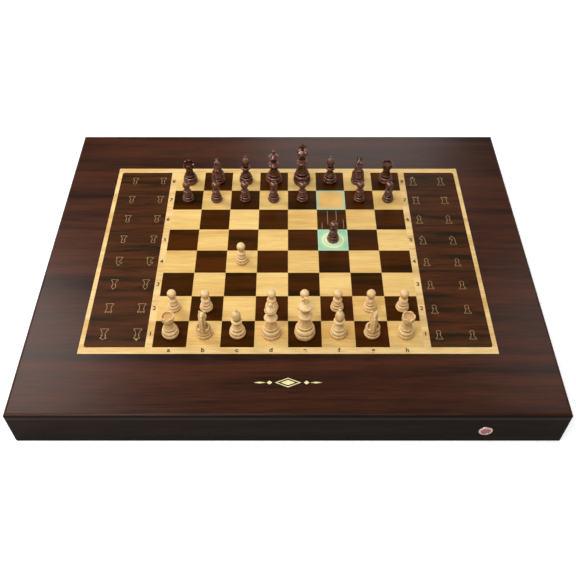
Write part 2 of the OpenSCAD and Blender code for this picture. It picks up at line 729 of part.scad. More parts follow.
// Foot, drum and a shoulder that ends top_d across
module base_profile(base_d, top_d) {
    drum = drum_h * base_scale(base_d);
    shoulder = shoulder_h * base_scale(base_d);
    shoulder_z = shoulder_top(base_d) - shoulder;
    translate([0, felt_t]) square([base_d / 2 - foot_in, foot_h + drum / 2]);
    disc_profile(base_d, felt_t + foot_h, drum, drum * 0.77);
    translate([0, felt_t]) square([top_d / 2 - 1, shoulder_z + 0.5 - felt_t]);
    shoulder_profile(base_d / 2 - foot_in, top_d / 2, shoulder_z, shoulder);
}

// The base with its ring, and the hollow stem up to neck_z, where it is neck_d across
module turned_profile(base_d, neck_d, neck_z) {
    ring = ring_h * base_scale(base_d);
    base_profile(base_d, base_d * 0.72);
    disc_profile(base_d * 0.74, base_top(base_d) - ring - 0.05, ring + 0.05, ring * 0.52);
    cove_profile(base_d * 0.31, neck_d / 2, base_top(base_d) - 0.05, neck_z);
}

// A ball of diameter d whose middle is at z
module ball_profile(d, z) {
    intersection() {
        translate([0, z]) circle(d / 2);
        translate([0, z - d]) square([d, 2 * d]);
    }
}

// Felt, magnet and the wooden body with its blind hole
module piece_solids() {
    cylinder(h = felt_t - glue, r = slug_d / 2 + 3);
    translate([0, 0, felt_t]) cylinder(h = slug_h, r = slug_d / 2);
    difference() {
        children();
        translate([0, 0, felt_t - eps]) cylinder(h = slug_h + eps + glue, r = slug_d / 2 + glue);
    }
}

module pawn() {
    head_d = 11;
    neck_d = 5.8;
    head_z = pawn_h - head_d / 2;
    collar_z = head_z - 11.1;
    rotate_extrude() {
        turned_profile(pawn_base, 6.4, collar_z + 0.1);
        disc_profile(11.2, collar_z, 1.8, 1.1);
        disc_profile(8, collar_z + 1.7, 1, 0.7);
        cove_profile(3.7, neck_d / 2, collar_z + 2.6, collar_z + 4.9);
        translate([0, collar_z + 4.8]) square([neck_d / 2, 3]);
        ball_profile(head_d, head_z);
    }
}

module rook() {
    crown_h = 5.9;
    crown_d = 15.4;
    crown_z = rook_h - crown_h;
    collar_z = crown_z - 4.8;
    difference() {
        rotate_extrude() {
            turned_profile(rook_base, 9.4, collar_z + 0.1);
            disc_profile(11.4, collar_z, 1.2, 0.8);
            cove_profile(7.5, 5, crown_z + 0.1, collar_z + 1.1);
            translate([0, crown_z]) square([crown_d / 2, crown_h]);
        }
        bar_z([0, 0, rook_h - 2.2], 2.2 + eps, 6);
        // six scallops in the rim
        for (a = [30, 90, 150]) rotate([0, 0, a])
            bar_x([-crown_d, 0, rook_h + 1], 2 * crown_d, 2.6);
    }
}

module bishop() {
    head_d = 10.9;
    neck_d = 7;
    head_z = bishop_h - 13.6;
    collar_z = head_z - 7.9;
    tip_d = 3.8;
    difference() {
        rotate_extrude() {
            turned_profile(bishop_base, 7.8, collar_z - 2.3);
            cove_profile(6.6, 3.9, collar_z + 0.1, collar_z - 2.4);
            disc_profile(13.6, collar_z, 1.7, 1.1);
            disc_profile(10.4, collar_z + 1.6, 1.3, 0.9);
            translate([0, collar_z + 2.8]) square([neck_d / 2, 3]);
            ball_profile(head_d, head_z);
            translate([0, head_z]) polygon([[0, 0], [4.75, 2.67], [3.6, 5.8], [1.5, 10.2], [0, 10.2]]);
            ball_profile(tip_d, bishop_h - tip_d / 2);
        }
        translate([0, 0, head_z + 2.4]) rotate([0, 38, 0]) translate([-7.2, -8, 0]) cube([8, 16, 1]);
    }
}

// The flared cup that ends a queen or king: rim rim_d across at rim_z, its neck at neck_z
module cup_profile(neck_d, rim_d, neck_z, rim_z) {
    cove_profile(rim_d / 2, neck_d / 2, rim_z, neck_z);
    disc_profile(rim_d, rim_z - 0.1, 1.4, 0.8);
}

module queen() {
    ball_d = 4.8;
    neck_d = 8;
    rim_z = queen_h - 11.5;
    collar_z = queen_h - 26.3;
    difference() {
        rotate_extrude() {
            turned_profile(queen_base, 9.6, collar_z - 1.1);
            disc_profile(11.4, collar_z - 1.2, 1.3, 0.8);
            disc_profile(16.2, collar_z, 3.2, 1.8);
            cove_profile(6.4, neck_d / 2, collar_z + 3.1, collar_z + 7.6);
            translate([0, collar_z + 7.5]) square([neck_d / 2, 1.7]);
            cup_profile(neck_d, 14.5, collar_z + 9.1, rim_z);
            cove_profile(6, 1.8, rim_z + 1.2, rim_z + 7.2);
            ball_profile(ball_d, queen_h - ball_d / 2);
        }
        // the eight hollows of the crown
        for (i = [0:7]) rotate([0, 0, 45 * i])
            bar_x([5.6, 0, rim_z + 1.7], 3, 1.3);
    }
}

module king() {
    neck_d = 8.8;
    rim_z = king_h - 15.2;
    collar_z = king_h - 33.5;
    cross_z = king_h - 11.5;
    rotate_extrude() {
        turned_profile(king_base, 10, collar_z - 1.1);
        disc_profile(12, collar_z - 1.2, 1.3, 0.8);
        disc_profile(17, collar_z, 3.6, 2.1);
        cove_profile(6.8, neck_d / 2, collar_z + 3.5, collar_z + 8.8);
        translate([0, collar_z + 8.7]) square([neck_d / 2, 2.2]);
        cup_profile(neck_d, 17.9, collar_z + 10.8, rim_z);
        cove_profile(7.3, 2.5, rim_z + 1.2, cross_z + 0.6);
    }
    block([-2, -1.6, cross_z], [2, 1.6, king_h]);
    block([-4.6, -1.6, cross_z + 4.2], [4.6, 1.6, cross_z + 8.2]);
}

// The horse's head looks along +Y
module knight() {
    head_z = shoulder_top(knight_base) - 0.1;
    head_h = knight_h - head_z;
    rotate_extrude() base_profile(knight_base, knight_base * 0.84);
    translate([0, 0, head_z]) intersection() {
        // seen from the side: the back, the ears, the face, the muzzle and the chest
        rotate([90, 0, 90]) translate([0, 0, -9]) linear_extrude(18) polygon([
            [-7.8, 0], [-8.4, 4], [-8.2, 9], [-7.6, 15], [-6, 21], [-3.6, 26], [-2.4, head_h - 2.5],
            [-0.8, head_h], [0.8, head_h - 4], [3.4, 26.5], [5, 23], [6.8, 19], [9.2, 14.6], [9.4, 12],
            [8, 10.4], [5.4, 10.8], [3.2, 12.4], [1.6, 11.6], [3.6, 8], [6.4, 4.4], [7.8, 0]
        ]);
        // seen from the front: the neck widens to a bell
        rotate([90, 0, 0]) translate([0, 0, -12]) linear_extrude(24) polygon([
            [-8, 0], [-7.4, 3], [-6, 6.4], [-5, 10], [-4.4, 15], [-4, 22], [-4, head_h],
            [4, head_h], [4, 22], [4.4, 15], [5, 10], [6, 6.4], [7.4, 3], [8, 0]
        ]);
    }
}

// One piece on its square, with the knights of each side looking at the other side
module chess_piece(p) {
    kind = p[1];
    white = p[2] == "white";
    color(white ? BOXWOOD : EBONY) translate([file_x(p[3]), rank_y(p[4]), top_z])
        rotate([0, 0, white ? 0 : 180]) piece_solids() {
            if (kind == "pawn") pawn();
            else if (kind == "rook") rook();
            else if (kind == "knight") knight();
            else if (kind == "bishop") bishop();
            else if (kind == "queen") queen();
            else king();
        }
}

top_panel();
field_border();
light_squares();
dark_squares();
capture_trays();
front_board();
rear_board();
side_boards();
base_panel();
rubber_feet();
base_screws();
button_bezel();
button_cap();
sensor_board();
control_board();
battery_pack();
y_rails();
gantry_beam();
trolley();
electromagnet();
x_motor();
x_pulley();
x_idler();
x_belt();
y_motor();
y_shaft();
y_idlers();
y_belts();
for (p = PIECES) chess_piece(p);
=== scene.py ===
import bmesh
import bpy
from math import acos, cos, pi, radians, sin, sqrt
from mathutils import Matrix, Vector


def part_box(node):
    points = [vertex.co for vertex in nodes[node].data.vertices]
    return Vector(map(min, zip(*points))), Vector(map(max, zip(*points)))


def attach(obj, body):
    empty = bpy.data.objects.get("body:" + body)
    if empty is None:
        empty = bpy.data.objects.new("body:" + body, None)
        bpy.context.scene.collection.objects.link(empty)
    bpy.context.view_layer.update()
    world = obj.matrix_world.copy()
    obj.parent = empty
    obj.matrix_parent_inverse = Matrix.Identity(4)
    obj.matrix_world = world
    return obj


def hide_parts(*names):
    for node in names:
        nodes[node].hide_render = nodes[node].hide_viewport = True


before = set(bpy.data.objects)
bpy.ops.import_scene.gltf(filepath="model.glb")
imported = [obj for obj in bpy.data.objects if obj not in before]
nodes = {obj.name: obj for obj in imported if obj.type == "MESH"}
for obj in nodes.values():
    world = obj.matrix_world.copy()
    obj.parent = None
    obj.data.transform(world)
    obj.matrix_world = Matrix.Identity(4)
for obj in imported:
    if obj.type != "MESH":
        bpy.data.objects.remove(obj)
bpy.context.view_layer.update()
mm = 0.001
print("frame loaded:", len(nodes), "nodes")

# camera

view = {"place": (0, -0.6712, 0.7314), "lookDown": 49.93, "lens": 45.13, "shiftY": 0.0406}


def makeCamera(v):
    lens = bpy.data.cameras.new("camera")
    lens.lens = v["lens"]
    lens.shift_y = v["shiftY"]
    camera = bpy.data.objects.new("camera", lens)
    camera.location = v["place"]
    camera.rotation_euler = (radians(90 - v["lookDown"]), 0, 0)
    bpy.context.scene.collection.objects.link(camera)
    bpy.context.scene.camera = camera


makeCamera(view)
bpy.context.scene.view_settings.view_transform = "Standard"
print("camera placed")

# finishes: how a material is written


class Wire:
    # an output socket that takes part in sums
    def __init__(self, finish, socket):
        self.finish = finish
        self.socket = socket

    def reckon(self, operation, *values):
        return self.finish.reckon(operation, *values)

    def __add__(self, other):
        return self.reckon("ADD", self, other)

    __radd__ = __add__

    def __sub__(self, other):
        return self.reckon("SUBTRACT", self, other)

    def __rsub__(self, other):
        return self.reckon("SUBTRACT", other, self)

    def __mul__(self, other):
        return self.reckon("MULTIPLY", self, other)

    __rmul__ = __mul__

    def __pow__(self, other):
        return self.reckon("POWER", self, other)

    def __gt__(self, other):
        return self.reckon("GREATER_THAN", self, other)

    def __lt__(self, other):
        return self.reckon("LESS_THAN", self, other)

    def __abs__(self):
        return self.reckon("ABSOLUTE", self)


class Finish:
    # a material: node() adds any node, and its shader takes the result
    def __init__(self, name, **constants):
        self.material = bpy.data.materials.new(name)
        self.material.use_nodes = True
        self.tree = self.material.node_tree
        self.shader = self.tree.nodes["Principled BSDF"]
        self.give(self.shader, {key.replace("_", " "): value for key, value in constants.items()})

    @classmethod
    def of(cls, tree):
        # the same for a tree that has no shader of its own, as the world's
        finish = cls.__new__(cls)
        finish.tree = tree
        return finish

    def give(self, node, values):
        for key, value in values.items():
            if isinstance(value, Wire):
                self.tree.links.new(value.socket, node.inputs[key])
            else:
                node.inputs[key].default_value = value

    def node(self, kind, settings=None, values=None, output=0):
        node = self.tree.nodes.new("ShaderNode" + kind)
        for key, value in (settings or {}).items():
            if key == "stops":
                for stop in value[2:]:
                    node.color_ramp.elements.new(stop[0])
                for element, (at, colour) in zip(node.color_ramp.elements, value):
                    element.position = at
                    element.color = (*colour, 1)
            else:
                setattr(node, key, value)
        self.give(node, values or {})
        return Wire(self, node.outputs[output])

    def reckon(self, operation, *values):
        return self.node("Math", {"operation": operation}, dict(enumerate(values)))

    def where(self, stretch=(1, 1, 1), turn=(0, 0, 0), shift=(0, 0, 0)):
        place = self.node("TexCoord", output="Object")
        return self.node("Mapping", values={"Vector": place, "Location": shift, "Rotation": turn,
                                            "Scale": stretch})

    def axes(self):
        place = self.node("TexCoord", output="Object")
        return [self.node("SeparateXYZ", values={0: place}, output=i) for i in range(3)]

    def noise(self, where, scale, detail=3.0, rough=0.5, distort=0.0, output=0):
        return self.node("TexNoise", values={"Vector": where, "Scale": scale, "Detail": detail,
                                             "Roughness": rough, "Distortion": distort}, output=output)

    def smooth(self, value, low, high):
        return self.node("MapRange", {"interpolation_type": "SMOOTHSTEP"},
                         {"Value": value, "From Min": low, "From Max": high})

    def ramp(self, value, *stops):
        return self.node("ValToRGB", {"stops": stops}, {0: value})

    def mix(self, share, first, second, blend="MIX"):
        colours = {6: first, 7: second}
        for key, value in colours.items():
            if not isinstance(value, Wire):
                colours[key] = (*value, 1)
        return self.node("Mix", {"data_type": "RGBA", "blend_type": blend}, {0: share, **colours}, output=2)

    def bump(self, height, strength, distance):
        normal = self.node("Bump", values={"Height": height, "Strength": strength, "Distance": distance})
        self.give(self.shader, {"Normal": normal})

    def paint(self, **values):
        self.give(self.shader, {key.replace("_", " "): value for key, value in values.items()})
        return self.material


def tint(red, green, blue):
    # a colour as a screen shows it, 0 to 255, as the shader's linear one
    def channel(c):
        c = c / 255
        return c / 12.92 if c <= 0.04045 else ((c + 0.055) / 1.055) ** 2.4
    return tuple(channel(c) for c in (red, green, blue))


def dress(node, material):
    slots = nodes[node].material_slots
    for slot in slots:
        slot.material = material
    if not slots:
        nodes[node].data.materials.append(material)


# woods

woods = {
    "caseVeneer": {"dark": tint(34, 20, 13), "mid": tint(54, 34, 21), "light": tint(76, 40, 24),
                   "band": 34, "fibre": 420, "pull": 0.06, "share": 0.35,
                   "roughness": 0.3, "gloss": 0.16, "depth": 0.00003},
    "trayVeneer": {"dark": tint(36, 28, 15), "mid": tint(55, 44, 23), "light": tint(84, 45, 24),
                   "band": 95, "fibre": 700, "pull": 0.1, "share": 0.22,
                   "roughness": 0.36, "gloss": 0.05, "depth": 0.00003},
    "darkSquare": {"dark": tint(34, 20, 0), "mid": tint(52, 31, 0), "light": tint(80, 38, 4),
                   "band": 60, "fibre": 620, "pull": 0.08, "share": 0.3,
                   "roughness": 0.38, "gloss": 0.04, "depth": 0.00003},
    "lightSquare": {"dark": tint(204, 158, 84), "mid": tint(226, 184, 108), "light": tint(240, 206, 132),
                    "band": 46, "fibre": 520, "pull": 0.07, "share": 0.4,
                    "roughness": 0.4, "gloss": 0.12, "depth": 0.00002},
    "borderMaple": {"dark": tint(204, 160, 92), "mid": tint(226, 186, 120), "light": tint(240, 208, 146),
                    "band": 60, "fibre": 600, "pull": 0.08, "share": 0.4,
                    "roughness": 0.4, "gloss": 0.12, "depth": 0.00002},
    "edgeStain": {"dark": tint(22, 16, 11), "mid": tint(34, 25, 19), "light": tint(44, 31, 24),
                  "band": 30, "fibre": 420, "pull": 0.06, "share": 0.4,
                  "roughness": 0.42, "gloss": 0.03, "depth": 0.00003},
    "basePly": {"dark": tint(58, 38, 22), "mid": tint(84, 58, 36), "light": tint(112, 80, 50),
                "band": 30, "fibre": 380, "pull": 0.06, "share": 0.5,
                "roughness": 0.7, "gloss": 0.2, "depth": 0.00008},
}


sheen = (1, 0.8, 0.76, 1)


def grain(finish, where, look):
    # bands of colour and finer fibres, both pulled out along the first axis of where
    pulled = finish.node("VectorMath", {"operation": "MULTIPLY"}, {0: where, 1: (look["pull"], 1, 1)})
    bands = finish.noise(pulled, look["band"], 4, 0.55, 0.6)
    fibres = finish.noise(pulled, look["fibre"], 4, 0.65)
    share = look["share"]
    tone = bands * (1 - share) + fibres * share
    colour = finish.ramp(tone, (0.38, look["dark"]), (0.62, look["light"]), (0.5, look["mid"]))
    pores = finish.noise(pulled, look["fibre"] * 3.5, 2, 0.5)
    return colour, fibres * 0.5 + pores * 0.5, tone


def plainWood(name, turned=False):
    look = woods[name]
    finish = Finish(name, Specular_IOR_Level=look["gloss"], Specular_Tint=sheen)
    where = finish.where(turn=(0, 0, pi / 2 if turned else 0))
    colour, height, tone = grain(finish, where, look)
    finish.bump(height, 0.35, look["depth"])
    return finish.paint(Base_Color=colour, Roughness=tone * 0.12 + (look["roughness"] - 0.06))


def outside(finish, node, rounding=0.0):
    # how far a point lies outside a node's box, seen from above, with its corners rounded
    low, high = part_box(node)
    middle, half = (low + high) / 2, (high - low) / 2
    across, along = [finish.reckon("MAXIMUM", abs(axis - middle[i]) - (half[i] - rounding), 0.0)
                     for i, axis in enumerate(finish.axes()[:2])]
    return (across * across + along * along) ** 0.5 - rounding


# painted shade below the top's edge and outside the border: where each starts and ends
paintedShadeLines = {"edge": (0.0002, 0.0022), "border": (0.0014, 0.0002), "share": 0.9, "colour": tint(15, 9, 4)}


def caseWood():
    # veneer with painted shade where it rolls over the edge and along the inlaid border
    look = woods["caseVeneer"]
    finish = Finish("caseVeneer", Specular_IOR_Level=look["gloss"], Specular_Tint=sheen)
    colour, height, tone = grain(finish, finish.where(), look)
    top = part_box("top_panel")[1].z
    edge = finish.smooth(finish.axes()[2], *(top - below for below in paintedShadeLines["edge"]))
    line = finish.smooth(outside(finish, "field_border"), *paintedShadeLines["border"])
    # painted shade: darker over the rolled edge and in a line along the border's joint
    colour = finish.mix(edge.reckon("MAXIMUM", edge, line) * paintedShadeLines["share"], colour, paintedShadeLines["colour"])
    finish.bump(height, 0.35, look["depth"])
    return finish.paint(Base_Color=colour, Roughness=tone * 0.12 + edge * 0.2 + (look["roughness"] - 0.06))


trayCorner = 0.0035     # its radius


def trayWood():
    # the border's wood comes round the outer corners of the trays
    look = woods["trayVeneer"]
    finish = Finish("trayVeneer", Specular_IOR_Level=look["gloss"], Specular_Tint=sheen)
    colour, height, tone = grain(finish, finish.where(), look)
    corner = outside(finish, "capture_trays", trayCorner) > 0
    colour = finish.mix(corner, colour, woods["borderMaple"]["mid"])
    finish.bump(height, 0.35, look["depth"])
    return finish.paint(Base_Color=colour, Roughness=tone * 0.12 + (look["roughness"] - 0.06))


# the playing field

field = {"cell": 0.04, "shift": 0.003, "movedFrom": (5, 6), "movedTo": (5, 4), "passed": (5, 5)}


def squareCentre(file, rank):
    return ((file - 3.5) * field["cell"], (rank - 3.5) * field["cell"] + field["shift"])


def inSquare(axes, square):
    # offsets from a square's middle, distance inside its edge, and a mask of the square
    centre = squareCentre(*square)
    across = axes[0] - centre[0]
    along = axes[1] - centre[1]
    edge = field["cell"] / 2 - across.reckon("MAXIMUM", abs(across), abs(along))
    return across, along, edge, edge > 0


def squareWood(name):
    look = woods[name]
    finish = Finish(name, Specular_IOR_Level=look["gloss"], Specular_Tint=sheen)
    # each square is its own leaf of veneer, so its grain starts elsewhere
    place = finish.where(shift=(0, -field["shift"], 0))
    cell = finish.node("VectorMath", {"operation": "SNAP"}, {0: place, 1: (field["cell"],) * 3})
    leaf = finish.node("TexWhiteNoise", values={"Vector": cell}, output="Color")
    shade = finish.node("TexWhiteNoise", values={"Vector": cell}, output="Value")
    where = finish.node("VectorMath", {"operation": "MULTIPLY_ADD"}, {0: leaf, 1: (4, 4, 4), 2: place})
    colour, height, tone = grain(finish, where, look)
    colour = finish.mix(0.22, colour, finish.ramp(shade, (0, look["dark"]), (1, look["light"])))
    finish.bump(height, 0.3, look["depth"])
    return finish, colour, tone


glow = {"teal": tint(138, 186, 156), "rim": tint(176, 214, 184), "amber": tint(228, 172, 98),
        "pale": tint(138, 196, 160), "warm": tint(214, 214, 150), "ring": tint(238, 246, 204),
        # how far the light reaches in from an edge, and how wide the two squares' bright rims are
        "reach": 0.009, "rimLeft": 0.0009, "rimReached": 0.0012,
        # from one ring to the next, where the rings and the warm light fade, and the lamps' strength
        "ripple": 0.0046, "ringsFade": (0.020, 0.012), "warmFades": (0.020, 0.011), "power": 0.14}


def lightSquareWood():
    finish, colour, tone = squareWood("lightSquare")
    axes = finish.axes()
    # the square a piece has left: lit along its edges, amber in the middle
    _, _, edge, left = inSquare(axes, field["movedFrom"])
    lit = finish.smooth(edge, glow["reach"], 0) ** 1.8 * left
    colour = finish.mix(left * 0.45, colour, glow["amber"])
    colour = finish.mix(lit * 0.75, colour, glow["teal"])
    colour = finish.mix(left * (edge < glow["rimLeft"]) * 0.5, colour, glow["rim"])
    # the square it has reached: lit all over, with rings round the piece
    across, along, edge, reached = inSquare(axes, field["movedTo"])
    away = (across * across + along * along) ** 0.5
    rings = finish.reckon("COSINE", away * (2 * pi / glow["ripple"])) * 0.5 + 0.5
    rings = rings * finish.smooth(away, *glow["ringsFade"])
    colour = finish.mix(reached * 0.9, colour, glow["pale"])
    colour = finish.mix(reached * finish.smooth(away, *glow["warmFades"]) * 0.7, colour, glow["warm"])
    colour = finish.mix(reached * rings * 0.8, colour, glow["ring"])
    colour = finish.mix(reached * (edge < glow["rimReached"]) * 0.7, colour, glow["rim"])
    lamp = finish.mix(lit * 0.7 + reached, (0, 0, 0), glow["teal"])
    return finish.paint(Base_Color=colour, Roughness=tone * 0.12 + 0.36, Emission_Color=lamp,
                        Emission_Strength=glow["power"])


trails = {"lines": ((-0.0136, -0.02, -0.004), (-0.0056, -0.012, 0.02), (0.0064, -0.004, 0.02),
                    (0.0156, -0.02, 0.002)),
          "width": 0.00035, "colour": tint(205, 200, 185), "strength": 0.4}


def darkSquareWood():
    finish, colour, tone = squareWood("darkSquare")
    # faint streaks of light where the piece has passed
    across, along, _, passed = inSquare(finish.axes(), field["passed"])
    streaks = 0
    for at, low, high in trails["lines"]:
        line = finish.smooth(abs(across - at), trails["width"] * 2, 0)
        ends = finish.smooth(along, low, low + 0.004) * finish.smooth(along, high, high - 0.006)
        streaks = line * ends + streaks
    colour = finish.mix(streaks * passed * trails["strength"], colour, trails["colour"])
    return finish.paint(Base_Color=colour, Roughness=tone * 0.12 + 0.36)


dress("top_panel", caseWood())
edgeStain = plainWood("edgeStain")
dress("front_board", edgeStain)
dress("rear_board", edgeStain)
dress("side_boards", plainWood("edgeStain", turned=True))
dress("base_panel", plainWood("basePly"))
dress("field_border", plainWood("borderMaple"))
dress("capture_trays", trayWood())
dress("light_squares", lightSquareWood())
dress("dark_squares", darkSquareWood())
print("case and field finished")

# metals, plastics and the other finishes


def moulded(name, colour, roughness=0.5, metallic=0.0, scale=900, relief=0.00002, spread=0.12, **more):
    # a surface with a fine texture, slightly uneven in tone
    finish = Finish(name, Metallic=metallic, **more)
    fine = finish.noise(finish.where(), scale, 3, 0.6)
    broad = finish.noise(finish.where(), scale / 25, 3, 0.5)
    darker = tuple(c * (1 - spread) for c in colour)
    lighter = tuple(min(1, c * (1 + spread)) for c in colour)
    finish.bump(fine, 0.25, relief)
    return finish.paint(Base_Color=finish.mix(broad, darker, lighter),
                        Roughness=roughness - 0.05 + fine * 0.1)


def brushed(name, colour, stretch, roughness=0.3, scale=1500):
    # metal with fine lines along one direction
    finish = Finish(name, Metallic=1.0)
    lines = finish.noise(finish.where(stretch=stretch), scale, 3, 0.7)
    finish.bump(lines, 0.2, 0.00001)
    darker = tuple(c * 0.85 for c in colour)
    return finish.paint(Base_Color=finish.mix(lines, darker, colour),
                        Roughness=roughness - 0.07 + lines * 0.14)


def inTwo(name, share, first, second):
    # one node of two materials: share(axes) is 1 where the second one shows
    finish = Finish(name)
    part = share(finish.axes())
    fine = finish.noise(finish.where(), 1100, 3, 0.6)
    finish.bump(fine, 0.2, 0.00001)
    colour = finish.mix(part, first["colour"], second["colour"])
    return finish.paint(
        Base_Color=finish.mix(fine * 0.25, colour, (0.02, 0.02, 0.02)),
        Roughness=first["roughness"] + part * (second["roughness"] - first["roughness"]),
        Metallic=first["metallic"] + part * (second["metallic"] - first["metallic"]))


steel = {"colour": tint(196, 199, 203), "roughness": 0.28, "metallic": 1.0}
blackPlastic = {"colour": tint(38, 38, 41), "roughness": 0.5, "metallic": 0.0}
circuitGreen = {"colour": tint(28, 82, 58), "roughness": 0.45, "metallic": 0.0}
chipBlack = {"colour": tint(26, 26, 28), "roughness": 0.4, "metallic": 0.0}

# where the material of a node changes: under the board's top, in from the rear face, and how far to each
# side of a middle
partings = {"sensors": 0.0042, "lamps": 0.0011, "socket": 0.0262, "rods": (0.04, 0.15),
            "beamMotor": (0.03, 0.0045), "rearMotor": 0.011}

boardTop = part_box("sensor_board")[1].z
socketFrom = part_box("rear_board")[1].y - partings["socket"]
rodMiddle, rodHalf = partings["rods"]
bodyMiddle, bodyHalf = partings["beamMotor"]
dress("rubber_feet", moulded("footRubber", tint(30, 30, 31), 0.75))
dress("base_screws", brushed("screwSteel", tint(188, 190, 192), (1, 1, 1), 0.3))
dress("sensor_board", inTwo("sensorCircuit", lambda p: (p[2] < boardTop - partings["sensors"])
                            + (p[2] > boardTop - partings["lamps"]), circuitGreen, chipBlack))
dress("control_board", inTwo("controlCircuit", lambda p: p[1] > socketFrom, circuitGreen, steel))
dress("battery_pack", moulded("batteryWrap", tint(58, 96, 150), 0.35, scale=300))
dress("y_rails", inTwo("railSteel", lambda p: abs(p[1] - rodMiddle) < rodHalf, blackPlastic, steel))
dress("gantry_beam", inTwo("beamSteel", lambda p: abs(p[0]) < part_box("y_belts")[1].x, blackPlastic, steel))
dress("trolley", moulded("trolleyPlastic", tint(202, 202, 198), 0.45))
dress("electromagnet", brushed("magnetIron", tint(150, 128, 108), (1, 1, 0.1), 0.4))
dress("x_motor", inTwo("beamMotor", lambda p: abs(p[2] - bodyMiddle) < bodyHalf, steel, blackPlastic))
dress("y_motor", inTwo("rearMotor", lambda p: abs(p[0]) < partings["rearMotor"], steel, blackPlastic))
for pulleyNode in ("x_pulley", "x_idler", "y_shaft", "y_idlers"):
    dress(pulleyNode, brushed("alloy_" + pulleyNode, tint(186, 190, 196), (1, 1, 1), 0.3))
for beltNode in ("x_belt", "y_belts"):
    dress(beltNode, moulded("rubber_" + beltNode, tint(24, 24, 25), 0.65))
print("drive and electronics finished")

# modelling


def addPiece(name, bm, material, body, stands=(), sharp=38):
    mesh = bpy.data.meshes.new(name)
    bm.to_mesh(mesh)
    bm.free()
    mesh.shade_smooth()
    mesh.set_sharp_from_angle(angle=radians(sharp))
    mesh.materials.append(material)
    piece = bpy.data.objects.new(name, mesh)
    bpy.context.scene.collection.objects.link(piece)
    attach(piece, body)
    if stands:
        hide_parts(*stands)
    return piece


def turnedOutline(cuts, radius, height):
    # the outline that a turner's cuts leave, from the bottom up: points of radius and height
    points = [(radius, height)]
    arcSteps = 9
    for kind, width, tall, *extra in cuts:
        radius, height = points[-1]
        end = width / 2
        if kind == "step":          # straight in or out, then straight up
            points.append((end, height))
            points.append((end, height + tall))
        elif kind == "bead":        # a ring with a rounded rim
            swell = extra[0] if extra else tall * 0.3
            for i in range(arcSteps + 1):
                a = pi * i / arcSteps - pi / 2
                points.append((end - swell + swell * cos(a), height + tall / 2 * (1 + sin(a))))
        elif kind == "sweep":       # a hollow or a flare that ends at this width
            bend = extra[0] if extra else 1.8
            for i in range(1, arcSteps + 1):
                s = i / arcSteps
                if end < radius:
                    points.append((end + (radius - end) * (1 - s) ** bend, height + tall * s))
                else:
                    points.append((radius + (end - radius) * s ** bend, height + tall * s))
        elif kind == "dome":        # a rounded shoulder, in to this width
            for i in range(1, arcSteps + 1):
                a = pi / 2 * i / arcSteps
                points.append((end + (radius - end) * cos(a), height + tall * sin(a)))
        elif kind == "ball":        # a ball, from the neck it stands on to its pole; tall stretches its top
            low = sqrt(end * end - radius * radius)
            start = -acos(radius / end)
            for i in range(1, 2 * arcSteps + 1):
                a = start + (pi / 2 - start) * i / (2 * arcSteps)
                upper = tall if a > 0 else end
                point = extra[0] if extra and a > 0 else 1
                points.append((end * cos(a) ** point, height + low + upper * sin(a)))
            points[-1] = (0, points[-1][1])
    return points


def lathe(outline, steps=64):
    bm = bmesh.new()
    verts = [bm.verts.new((r, 0, z)) for r, z in outline]
    edges = [bm.edges.new(pair) for pair in zip(verts, verts[1:])]
    bmesh.ops.spin(bm, geom=verts + edges, cent=(0, 0, 0), axis=(0, 0, 1), angle=2 * pi, steps=steps,
                   use_merge=True)
    bmesh.ops.remove_doubles(bm, verts=bm.verts, dist=0.001)
    bmesh.ops.recalc_face_normals(bm, faces=bm.faces)
    return bm


def topOf(bm):
    return max(v.co.z for v in bm.verts)


def placed(bm, x=0.0, y=0.0, z=0.0, turn=0.0, scale=mm):
    bmesh.ops.transform(bm, matrix=Matrix.Translation((x, y, z)) @ Matrix.Rotation(turn, 4, "Z")
                        @ Matrix.Scale(scale, 4), verts=bm.verts)
    return bm


def evaluated(bm, modifiers):
    # the mesh after these modifiers, each given as a type and its settings
    mesh = bpy.data.meshes.new("scratch")
    bm.to_mesh(mesh)
    bm.free()
    scratch = bpy.data.objects.new("scratch", mesh)
    bpy.context.scene.collection.objects.link(scratch)
    for kind, settings in modifiers:
        modifier = scratch.modifiers.new(kind, kind)
        for key, value in settings.items():
            setattr(modifier, key, value)
    result = bmesh.new()
    result.from_mesh(scratch.evaluated_get(bpy.context.evaluated_depsgraph_get()).to_mesh())
    bpy.data.objects.remove(scratch)
    return result


def carved(solid, cutter, operation="DIFFERENCE"):
    mesh = bpy.data.meshes.new("cutter")
    cutter.to_mesh(mesh)
    cutter.free()
    tool = bpy.data.objects.new("cutter", mesh)
    bpy.context.scene.collection.objects.link(tool)
    result = evaluated(solid, [("BOOLEAN", {"object": tool, "operation": operation, "solver": "EXACT",
                                            "use_self": True})])
    bpy.data.objects.remove(tool)
    return result


def ellipsoid(bm, centre, radii, turn=0.0):
    bmesh.ops.create_uvsphere(bm, u_segments=24, v_segments=14, radius=1,
                              matrix=Matrix.Translation(centre) @ Matrix.Rotation(turn, 4, "X")
                              @ Matrix.Diagonal((*radii, 1)))


def rod(bm, start, end, radius, radius2=None, segments=16):
    start, end = Vector(start), Vector(end)
    axis = end - start
    turned = axis.to_track_quat("Z", "Y").to_matrix().to_4x4()
    bmesh.ops.create_cone(bm, cap_ends=True, segments=segments, radius1=radius,
                          radius2=radius if radius2 is None else radius2, depth=axis.length,
                          matrix=Matrix.Translation((start + end) / 2) @ turned)


def block(bm, low, high):
    low, high = Vector(low), Vector(high)
    return bmesh.ops.create_cube(bm, size=1, matrix=Matrix.Translation((low + high) / 2)
                                 @ Matrix.Diagonal((*(high - low), 1)))["verts"]


# chess pieces

piece = {"felt": 0.8, "feltWider": 6, "magnet": 8, "magnetHigh": 4, "magnetBevel": 0.3, "glue": 0.05}

